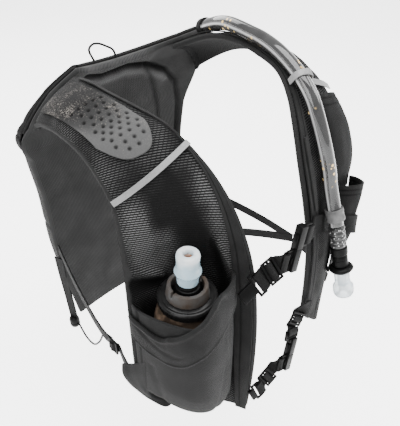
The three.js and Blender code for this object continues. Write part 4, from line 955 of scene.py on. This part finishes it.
for name, panel in panels.items():
    s, t = grid(90, 260)
    sheet = panel.at(s, t)
    thick = panelSizes["thickness"]
    sewn = np.clip(1 - (t * panelSizes["sewnRows"] - 0.2) / 2.0, 0, 1)
    face = backFrontFace(sheet[..., 0], sheet[..., 2]) - 0.9 - thick / 2 * 1.2
    near = np.minimum(sheet[..., 1], face)
    sheet[..., 1] = sheet[..., 1] * (1 - np.minimum(sewn * 2, 1)) + near * np.minimum(sewn * 2, 1)
    puff = 0.7 * ripples(s, t * 3, 21 if name == "right" else 22, low=1, high=6)
    border = bell(s, 0, 0.045) + bell(s, 1, 0.02)
    puff = puff * (1 - border) - 0.7 * bell(s, 0.96, 0.012)
    lines = {kind: grooves(s, t, rows) for kind, rows in panelFolds[name].items()}
    puff = puff + lines["raised"] - lines["pressed"]
    # Painted shade in the dish and along the folds, and painted light where the panel is lit.
    shade = np.clip(lines["shade"], 0, 0.92)
    glow = np.clip(lines["glow"] * (1 - shade), 0, 1)
    strap = clothPiece(
        f"strap{name.title()}", sheet, thick, -panel.side, np.clip(puff, -2.4, 3),
        marks={"shade": shade, "glow": glow, "seam": np.clip(border, 0, 1)},
    )
    place(strap, finishes["mesh"], "mesh", f"strap_{name}")
print("shoulder panels ready")

tape = {
    "widths": {"right": [0.05, 0.05, 0.05, 0.1, 0.13, 0.11], "left": [0.05, 0.06, 0.08, 0.12, 0.12, 0.11]},
    "thickness": 1.1, "lift": 0.5,
}
for name, panel in panels.items():
    tapeShare = column(tape["widths"][name])
    u, v = grid(24, 300)
    t = 1 / panelSizes["sewnRows"] + v * (1 - 1 / panelSizes["sewnRows"])
    s = 0.005 + u * (tapeShare(v) - 0.005)
    rise = restHeight(tape["thickness"]) + tape["lift"] * (1 + 2.6 * v * v)
    sheet = panel.place(s, t, rise)
    line = bell(u, 0.62, 0.06) * (v > 0.35)
    edges = bell(u, 0, 0.05) * 0.4
    relief = -0.35 * line + 0.12 * ripples(u * 0.2, v * 6, 31, low=2, high=8)
    bindingPiece = clothPiece(
        f"binding{name.title()}", sheet, tape["thickness"], -panel.side, np.clip(relief, -0.45, 0.3),
        marks={"seam": np.clip(line + edges, 0, 1)},
    )
    place(bindingPiece, finishes["binding"], "binding", f"binding_{name}")

patch = {
    "neck": 0.17, "arm": 0.83, "start": 0.06, "end": 0.392, "round": 0.07, "thickness": 1.4, "lift": 0.8,
    "holesFrom": 0.185, "radius": 1.25, "pitch": 6.9,
}
right = panels["right"]
u, v = grid(190, 230)
endRound = patch["round"] * np.abs(2 * u - 1) ** 3
s = patch["neck"] + u * (patch["arm"] - patch["neck"])
t = patch["start"] + v * (patch["end"] - endRound - patch["start"])
patchHeight = restHeight(patch["thickness"]) + patch["lift"]
sheet = right.place(s, t, patchHeight)
holesFrom = patch["holesFrom"]
middleT = (holesFrom + patch["end"]) / 2
width = float(np.linalg.norm(right.at(patch["neck"], middleT) - right.at(patch["arm"], middleT)))
length = float(np.linalg.norm(right.at(0.5, holesFrom) - right.at(0.5, patch["end"])))
pitch = patch["pitch"]
margin, rowPitch = pitch * 0.55, pitch * 0.86
rows = int((length - 2 * margin) // rowPitch) + 1
hole = np.zeros_like(u)
for row in range(rows):
    along = margin + row * rowPitch
    holeT = holesFrom + along / length * (patch["end"] - holesFrom)
    pinch = pitch * (row - rows + 3) * 0.6 if row >= rows - 2 else 0
    reach = margin + (pitch / 2 if row % 2 else 0) + pinch
    while reach <= width - margin - pinch:
        across = patch["neck"] + reach / width * (patch["arm"] - patch["neck"])
        centre = right.place(across, holeT, patchHeight)
        distance = np.linalg.norm(sheet - centre, axis=2)
        hole = np.maximum(hole, 1 / (1 + np.exp((distance - patch["radius"]) / 0.3)))
        reach += pitch
puff = 0.35 * ripples(u, v, 41, low=1, high=5) - 1.2 * hole + 0.3 * (1 - np.clip(hole * 1.4, 0, 1))
shoulderPatch = clothPiece(
    "shoulderPatch", sheet, patch["thickness"], -right.side, np.clip(puff, -1.2, 0.5),
    marks={"hole": hole, "fade": v},
)
place(shoulderPatch, finishes["patch"], "patch", "patch_right")

strip = {"neck": 0.412, "arm": 0.462, "width": 4.8, "thickness": 1.1, "lift": 2.0}
stripHeight = restHeight(strip["thickness"]) + strip["lift"]
k = np.linspace(0, 1, 9)
t = strip["neck"] + (strip["arm"] - strip["neck"]) * k
reflectiveStrip = strapPiece(
    "reflectiveStrip", right.place(k, t, stripHeight), right.axes(k, t)[1], strip["width"],
    strip["thickness"], edge=0.1,
)
place(reflectiveStrip, finishes["reflective"], "reflective", "reflective_strip_right")
print("tapes and patch ready")

# The pocket stands off the right panel by the flask's reach. Edges are shares of the panel.
seat = {"across": 0.57, "along": 0.72, "tilt": 4, "radius": 26.5, "clearance": 3.8}
pocket = {"arm": 0.985, "neck": 0.175, "mouth": 0.732, "foot": 0.985, "drop": 0.035}
halfPanel = panelSizes["thickness"] / 2
flaskHeight = float(right.dish(seat["across"], seat["along"])) + halfPanel
flaskHeight += seat["clearance"] + seat["radius"]
pocketReach = flaskHeight + seat["radius"] + seat["clearance"] - halfPanel
reachAt = column([1, 1.01, 0.99, 0.94, 0.9, 0.76, 0.04])


# A pocket is sewn flat at its sides and swells to its reach between them.
def pocketPoint(panel, edges, reach, u, t, level, lift):
    s = edges["arm"] + u * (edges["neck"] - edges["arm"])
    swell = np.sin(np.pi * np.clip(u, 0, 1)) ** 0.6
    dish = panel.dish(s, t)
    height = dish * (1 - swell) + reach * level * swell + restHeight(1.6) + lift
    return panel.chord(s, t, height)


def rightPocket(u, v):
    mouth = pocket["mouth"] + pocket["drop"] * u * u
    t = mouth + v * (pocket["foot"] - mouth)
    return pocketPoint(right, pocket, pocketReach, u, t, reachAt(v), panelSizes["gap"])


u, v = grid(170, 170)
sheet = rightPocket(u, v)
relief = 0.8 * ripples(u, v, 51, low=1, high=4) * np.sin(np.pi * u)
relief -= grooves(u, v, [(0.1, 0.5, 0.2, 0.95, 0.03, 0.8), (0.78, 0.45, 0.7, 0.9, 0.03, 0.6)])
edgeSeam = bell(u, 0.03, 0.008) + bell(u, 0.97, 0.008)
edgeSeam += bell(v, 0.965, 0.01)
relief -= 0.6 * edgeSeam
flaskPocket = clothPiece(
    "flaskPocket", sheet, 1.6, -1, np.clip(relief, -1.6, 0.9), marks={"seam": np.clip(edgeSeam, 0, 1)},
)
place(flaskPocket, finishes["stretch"], "stretch", "pocket_right")

cuffEdges = {
    "top": column([0.09, 0.09, -0.05, -0.22, -0.17]),
    "low": column([0.29, 0.35, 0.2, 0.06, 0.0]),
}


def cuffLevel(u, w):
    return cuffEdges["top"](u) * (1 - w) + cuffEdges["low"](u) * w


# The cuff lies on the outside of the pocket's mouth.
def overCuff(u, w, height):
    level = cuffLevel(u, w)
    across = rightPocket(np.minimum(u + 0.01, 1), level) - rightPocket(np.maximum(u - 0.01, 0), level)
    down = rightPocket(u, level + 0.01) - rightPocket(u, level - 0.01)
    return rightPocket(u, level) + unit(np.cross(down, across)) * height[..., None]


u, v = grid(190, 80)
sheet = overCuff(u, v, 2.7 + 1.1 * np.sin(np.pi * np.clip(v * 1.05, 0, 1)) * np.sin(np.pi * u))
roll = 0.8 * bell(v, 0.06, 0.06) + 0.5 * bell(v, 0.93, 0.05)
roll += 0.6 * ripples(u * 2, v * 0.6, 61, low=1, high=5)
roll -= grooves(u, v, [(0.72, 0.1, 0.95, 0.75, 0.05, 0.8), (0.05, 0.2, 0.3, 0.6, 0.05, 0.6)])
stitch = bell(v, 0.9, 0.012)
cuff = clothPiece(
    "pocketCuff", sheet, 2.2, -1, np.clip(roll, -0.9, 1.4), rounding=0.5, marks={"seam": stitch * 0.4},
)
place(cuff, finishes["stretch"], "stretch", "pocket_cuff_right")

wing = {
    "free": [
        (-123.6, -66, -203), (-126.6, -70, -209), (-124.6, -75, -218), (-119, -81.5, -228),
        (-112.6, -88.5, -237), (-103, -98, -245),
    ],
    "sewn": [(0.05, 0.5), (0.05, 0.62), (0.05, 0.76), (0.05, 0.88), (0.06, 0.98), (0.2, 0.99), (0.34, 0.99)],
}
u, v = grid(30, 90)
wing["free"].append(tuple(rightPocket(np.array(0.36), np.array(0.99))))
free = evenly(wing["free"], 91)[:, None]
sewnU, sewnV = (np.interp(v, np.linspace(0, 1, 7), np.array(wing["sewn"])[:, k]) for k in (0, 1))
sewnEdge = rightPocket(sewnU, sewnV)
sheet = free * (1 - u[..., None]) + sewnEdge * u[..., None]
sheet[..., 1] -= 1.6 * np.sin(np.pi * u)
slack = 0.4 * ripples(u, v, 63, low=1, high=3)
gusset = clothPiece("pocketWing", sheet, 1.6, -1, slack, marks={"seam": u * 0})
place(gusset, finishes["stretch"], "stretch")
print("flask pocket ready")

capSeat = right.chord(seat["across"], seat["along"], flaskHeight)
axis = capSeat - right.chord(seat["across"], seat["along"], 0)
axis[2] = 0
axis = unit(axis) * math.sin(math.radians(seat["tilt"]))
axis[2] = math.cos(math.radians(seat["tilt"]))


def flaskPart(name, profile, material, slot, node, open=False, facets=72):
    piece = turnedPiece(name, profile, capSeat, axis, facets=facets, open=open)
    return place(piece, finishes[material], slot, node)


flaskPart("flaskBody", [
    (0, -108.4), (8, -108.2), (14.5, -107), (18.5, -102), (21.5, -94.4), (24.4, -82), (26, -68.4),
    (26.5, -50), (26.5, -30.4), (26, -24), (24.5, -17.4), (22, -11), (20.4, -8.8), (19.8, -8.4), (0, -8.4),
], "flask", "flask", "flask_body")
capTop = [
    (0, -8), (22, -8), (22.6, -7.7), (22.9, -7), (23.5, -4), (23.8, -2.8), (23.6, -1.6), (22.9, -0.6),
    (22, -0.1), (20.6, 0), (19.9, -0.25), (19.2, 0), (0, 0),
]
grip = {"from": 22.4, "low": -7.2, "high": -1.2, "depth": 0.014, "ribs": 36}
flaskCap = flaskPart("flaskCap", capTop, "cap", "cap", "flask_cap", facets=144)
# Fine grip ribs round the cap's side.
capAxis = Vector(axis)
for vertex in flaskCap.data.vertices:
    arm = vertex.co - Vector(capSeat) * mm
    height = arm.dot(capAxis)
    flat = arm - capAxis * height
    if flat.length > grip["from"] * mm and grip["low"] * mm < height < grip["high"] * mm:
        angle = math.atan2(flat.y, flat.x)
        flat *= 1 - grip["depth"] * (0.5 + 0.5 * math.cos(grip["ribs"] * angle))
        vertex.co = Vector(capSeat) * mm + capAxis * height + flat
flaskCap.data.update()
lockRing = dressedCopy("flask_lock_ring", "lockRing", bevel=0.5, angle=40)
place(lockRing, finishes["ring"], "cap", "flask_lock_ring")
flaskPart("valveStem", [
    (0, 0.4), (11.6, 0.4), (11.6, 1.6), (11, 2.4), (9.4, 8.6), (9.4, 9.6), (8.6, 10), (8.6, 12), (8, 12.9),
    (0, 13),
], "plastic", "plastic", "flask_valve_stem")
flaskPart("flaskBiteValve", [
    (3.4, 13.4), (7.6, 13.4), (8.2, 14), (8.8, 19), (9.2, 22.6), (9.9, 23.6), (10.5, 24.6), (10.5, 25.4),
    (9.9, 26.4), (9.2, 27.4), (9, 31), (8.9, 34.4), (9.1, 37.6), (9.2, 39.4), (8.8, 41.2), (7.8, 42.1),
    (6.2, 42.3), (4.4, 42.1), (3.6, 41.2), (3.4, 40), (3.4, 13.4),
], "valve", "silicone", "flask_bite_valve", open=True)
# A copper-tinted plug in the valve's hole stands for the warm glow there: painted light.
plug = turnedPiece("valvePlug", [
    (0, 30), (3.3, 30), (3.3, 38.4), (2.7, 38.8), (1.6, 38.2), (1.2, 37.2), (0, 37),
], capSeat, axis, facets=40)
place(plug, finishes["copper"], "cap")
print("flask ready")

# The left panel carries a zip flap, two pockets and the strip that holds the hose.
left = panels["left"]
flap = {"along": (0.575, 0.745), "across": (0.055, 0.09), "width": 5, "thickness": 1.6, "lift": 2.4}
k = np.linspace(0, 1, 6)
t, s = (low + (high - low) * k for low, high in (flap["along"], flap["across"]))
flapHeight = restHeight(flap["thickness"]) + flap["lift"]
zipFlap = strapPiece(
    "zipFlap", left.place(s, t, flapHeight), left.axes(s, t)[0], flap["width"], flap["thickness"], edge=-0.3,
)
place(zipFlap, finishes["binding"], "binding", "zip_flap_left")

leftPockets = {
    "upperPocket": {
        "node": "pocket_upper_left", "arm": 0.99, "neck": 0.52, "mouth": 0.475, "foot": 0.735, "reach": 9,
        "lift": 0.4, "level": [0.75, 1, 1, 0.85, 0.05], "seams": (0.05, 0.13), "slack": 0.5, "seed": 71,
        "folds": [], "limits": (-1, 0.6),
    },
    "bottlePocket": {
        "node": "pocket_flask_left", "arm": 0.99, "neck": 0.56, "mouth": 0.715, "foot": 0.9, "reach": 19,
        "lift": 2.4, "level": [1, 0.88, 0.76, 0.66, 0.42, 0.05], "seams": (0.05, 0.11), "slack": 0.6,
        "seed": 72, "folds": [(0.3, 0.2, 0.55, 0.9, 0.03, 0.9)], "limits": (-1.2, 0.7),
    },
}
u, v = grid(100, 110)
for name, values in leftPockets.items():
    t = values["mouth"] + v * (values["foot"] - values["mouth"])
    level = column(values["level"])(v)
    sheet = pocketPoint(left, values, values["reach"], u, t, level, values["lift"])
    edgeSeam = bell(v, values["seams"][0], 0.008) + bell(v, values["seams"][1], 0.008)
    relief = values["slack"] * ripples(u, v, values["seed"], low=1, high=4) - 0.4 * edgeSeam
    relief -= grooves(u, v, values["folds"])
    leftPocket = clothPiece(
        name, sheet, 1.6, 1, np.clip(relief, *values["limits"]),
        marks={"seam": np.clip(edgeSeam * 0.7, 0, 1)},
    )
    place(leftPocket, finishes["stretch"], "stretch", values["node"])

loopLine = (0.425, 0.447)
loopWidth = float(np.linalg.norm(left.place(0, loopLine[0], 0) - left.place(1, loopLine[1], 0)))
loopReach = hose["radius"] + 0.55 + 1.2
profile = [(0, stripHeight)]
for angle in (165, 130, 95, 60, 30):
    turn = math.radians(angle)
    over = halfPanel + hose["radius"] + 2.2 + loopReach * math.sin(turn)
    profile.append((0.13 + loopReach * math.cos(turn) / loopWidth, over))
profile += [(0.36, stripHeight + 1), (0.5, stripHeight), (0.75, stripHeight), (1, stripHeight)]
s, heights = np.array(profile).T
s = np.maximum(s, 0)
t = loopLine[0] + s * (loopLine[1] - loopLine[0])
hoseLoop = strapPiece("hoseLoop", left.place(s, t, heights), left.axes(s, t)[1], 5.5, 1.1, edge=0.1)
place(hoseLoop, finishes["reflective"], "reflective", "hose_strip_left")

routePoints = np.array(hose["route"], float)
portAxis = unit(routePoints[0] - routePoints[1])
port = turnedPiece("hosePort", [
    (6.8, 0), (7.6, 0), (8.1, 0.5), (8.1, 5.8), (8.2, 6.4), (7.2, 8), (6.4, 9), (4.4, 9), (6.8, 6.3),
    (6.8, 0),
], routePoints[0] - 4 * portAxis, portAxis, open=True)
place(port, finishes["shell"], "shell", "hose_port")
keeperAxis = unit(routePoints[15] - routePoints[14])
keeper = turnedPiece("hoseKeeper", [
    (7.1, 0), (7.9, 0), (8.2, 0.4), (8.2, 3), (7.9, 3.4), (7.9, 7.6), (8.2, 8), (8.2, 10.6), (7.9, 11),
    (7.1, 11), (7.1, 0),
], routePoints[14] + 5 * keeperAxis, keeperAxis, open=True)
place(keeper, finishes["keeper"], "silicone", "hose_keeper")
print("left panel ready")

# Where a piece of chest hardware sits, and which way it lies.
def hardware(centre, along, side):
    a = unit(np.array(along, float))
    b = np.array(side, float)
    b = unit(b - a * np.dot(a, b))
    normal = np.cross(a, b)
    normal = -normal if normal[1] > 0 else normal
    return {"centre": np.array(centre, float), "along": a, "side": b, "normal": normal}


def onHardware(spot, along, side, off):
    return spot["centre"] + spot["along"] * along + spot["side"] * side + spot["normal"] * off


# How webbing goes round a bar and through a slider: steps along it and off its middle.
loopPath = [(5, 0.75), (2, 1.7), (-1, 1.8), (-2, 1), (-2, -1), (-1, -1.8), (2, -1.7), (4.2, -0.75)]
threadPath = [(-7, -1.8), (-4.3, -1.8), (-1.1, 1.8), (1.1, 1.8), (4.3, -1.8), (7, -1.8)]


webWidths = {"upper": 17, "lower": 13, "side": 9, "tail": 10, "tab": 12}
webThickness = 1


def webPiece(name, stations, width, node):
    path, sides = [], []
    for spot, kind in stations:
        if kind == "point":
            path.append(spot[0])
            sides.append(spot[1])
            continue
        mirrored = [(-along, off) for along, off in reversed(loopPath)]
        steps = {"start": loopPath, "thread": threadPath, "end": mirrored}[kind]
        for along, off in steps:
            path.append(onHardware(spot, along, 0, off))
            sides.append(spot["side"])
    piece = strapPiece(name, path, sides, webWidths[width], webThickness, count=220)
    return place(piece, finishes["webbing"], "webbing", node)


def clipBars(clip, half):
    reach = 9.9  # from the clip's middle to the bar at each end
    return [{**clip, "centre": onHardware(clip, sign * reach, -sign * half, 0)} for sign in (-1, 1)]


upperAnchor = hardware((-31.5, -131, -121.5), (0.9, -0.07, 0.42), (0.15, -0.47, -0.88))
upperSlider = hardware((-19.8, -132.3, -115.8), (0.95, -0.05, 0.3), (0.1, -0.47, -0.88))
upperClip = hardware((6.5, -133.5, -105.5), (0.97, 0, -0.22), (-0.225, 0, -0.975))
upperBars = clipBars(upperClip, 10.6)
webPiece("upperWebRight", [
    (upperAnchor, "start"), (upperSlider, "thread"), (upperBars[0], "end"),
], "upper", "upper_web_right")
bandLine = (0.775, 0.815)
bottle = leftPockets["bottlePocket"]


def overPanel(s, lift):
    t = bandLine[0] + (bandLine[1] - bandLine[0]) * s
    return left.place(s, t, restHeight(webThickness) + lift), left.axes(np.array(s), np.array(t))[1]


def overPocket(u):
    s = bottle["arm"] + u * (bottle["neck"] - bottle["arm"])
    t = bandLine[0] + (bandLine[1] - bandLine[0]) * s
    level = column(bottle["level"])((t - bottle["mouth"]) / (bottle["foot"] - bottle["mouth"]))
    point = pocketPoint(left, bottle, bottle["reach"], u, t, level, 5.3)
    return point, left.axes(np.array(s), np.array(t))[1]


band = [overPanel(0.02, 3.6), overPanel(0.14, 3.6), overPanel(0.35, 0.5), overPanel(0.5, 2)]
band += [overPocket(u) for u in (0.95, 0.8, 0.6, 0.4, 0.2, 0.05)]
webPiece("upperWebLeft", [
    (upperBars[1], "start"), *((spot, "point") for spot in band),
], "upper", "upper_web_left")

lowerAnchor = hardware((-18.5, -127, -262), (0.95, -0.05, 0.3), (0.3, -0.3, -0.9))
lowerSlider = hardware((-6.5, -125.3, -256.5), (0.83, -0.05, 0.55), (0.45, -0.3, -0.8))
lowerClip = hardware((20, -126, -242.5), (0.93, 0.05, -0.3), (-0.2, -0.07, -0.975))
lowerRise = hardware((23.9, -124.2, -219.8), (0.25, 0.12, 0.96), (0.93, 0, -0.25))
riseSlider = hardware((31.6, -121.5, -209.2), (0.62, 0.1, 0.75), (0.75, -0.1, -0.6))
lowerBars = clipBars(lowerClip, 8.6)
webPiece("lowerWebRight", [
    (lowerAnchor, "start"), (lowerSlider, "thread"), (lowerBars[0], "end"),
], "lower", "lower_web_right")
farSide = (0.25, -0.1, -0.96)
webPiece("lowerWebLeft", [
    (lowerRise, "start"), (riseSlider, "thread"), (((41, -122.1, -202.2), farSide), "point"),
    (((49, -122, -204.8), farSide), "point"),
], "lower", "lower_web_left")

for node, name in {
    "upper_hook_right": "upperHook", "upper_slider": "upperSlider", "upper_clip_socket": "upperSocket",
    "upper_clip_plug": "upperPlug", "lower_anchor_right": "lowerAnchor",
    "lower_slider_right": "lowerSliderRight", "lower_clip_socket": "lowerSocket",
    "lower_clip_plug": "lowerPlug", "lower_slider_left": "lowerSliderLeft", "side_slider_right": "sideSlider",
}.items():
    place(dressedCopy(node, name, bevel=0.45), finishes["plastic"], "plastic", node)
print("chest straps ready")

# The side straps, and the bag's webbing tail with its cord lock.
sideSlider = hardware((-116.5, -42, -205), (-0.03, -1, 0.02), (0, 0, -1))
if sideSlider["normal"][0] > 0:
    sideSlider["normal"] = -sideSlider["normal"]
upright = (0, 0, -1)
before = [
    (-88.6, 91, -190), (-90.6, 80, -196), (-98, 50, -202), (-105, 20, -205), (-111, -8, -207),
    (-114.5, -28, -206),
]
after = [(-118.5, -60, -206), (-121.6, -79, -212)]
webPiece("sideWebRight", [((p, upright), "point") for p in before] + [(sideSlider, "thread")] + [
    ((p, upright), "point") for p in after
], "side", "side_web_right")
tail = [(-89.4, 92, -205), (-86, 94, -235), (-83, 94.5, -262), (-81, 93, -292)]
webPiece("packTail", [((p, (0.35, -0.94, 0)), "point") for p in tail], "tail", "pack_tail_right")
lock = turnedPiece("cordLock", [
    (0, 0), (3.6, 0), (4.4, 0.5), (4.8, 1.6), (5.4, 3.6), (5.4, 6), (4.9, 6.6), (4.9, 7.6), (5.4, 8.2),
    (5.4, 11), (4.8, 12.6), (3.8, 13.8), (2.6, 14.2), (0, 14.2),
], (-81.5, 93, -292.4), unit(np.array([0.1, 0.05, -1])), facets=40)
place(lock, finishes["plastic"], "plastic", "cord_lock_right")

meet = np.array([113, -40, -205], float)
legSide = (0, 0.05, -1)  # both legs and the tab lie flat, edge down
legs = []
for k, start in enumerate(((78.3, 88, -187), (79.3, 87, -251))):
    shares = np.array([0, 0.35, 0.7, 1.0])[:, None]
    path = np.array(start, float) * (1 - shares) + meet * shares
    path[:, 0] += 6 * np.sin(np.pi * shares[:, 0])
    legs.append(strapPiece(f"sideLeg{k}", path, [legSide] * 4, webWidths["side"], webThickness))
bpy.ops.object.select_all(action="DESELECT")
for leg in legs:
    leg.select_set(True)
bpy.context.view_layer.objects.active = legs[0]
bpy.ops.object.join()
legs[0].name = "sideLegs"
place(legs[0], finishes["webbing"], "webbing", "side_web_left")
tab = [(113.2, -41, -205), (112, -62, -207), (108, -80, -210), (100.5, -99, -214)]
webPiece("sideTab", [((p, legSide), "point") for p in tab], "tab", "side_tab_left")
print("side straps ready")
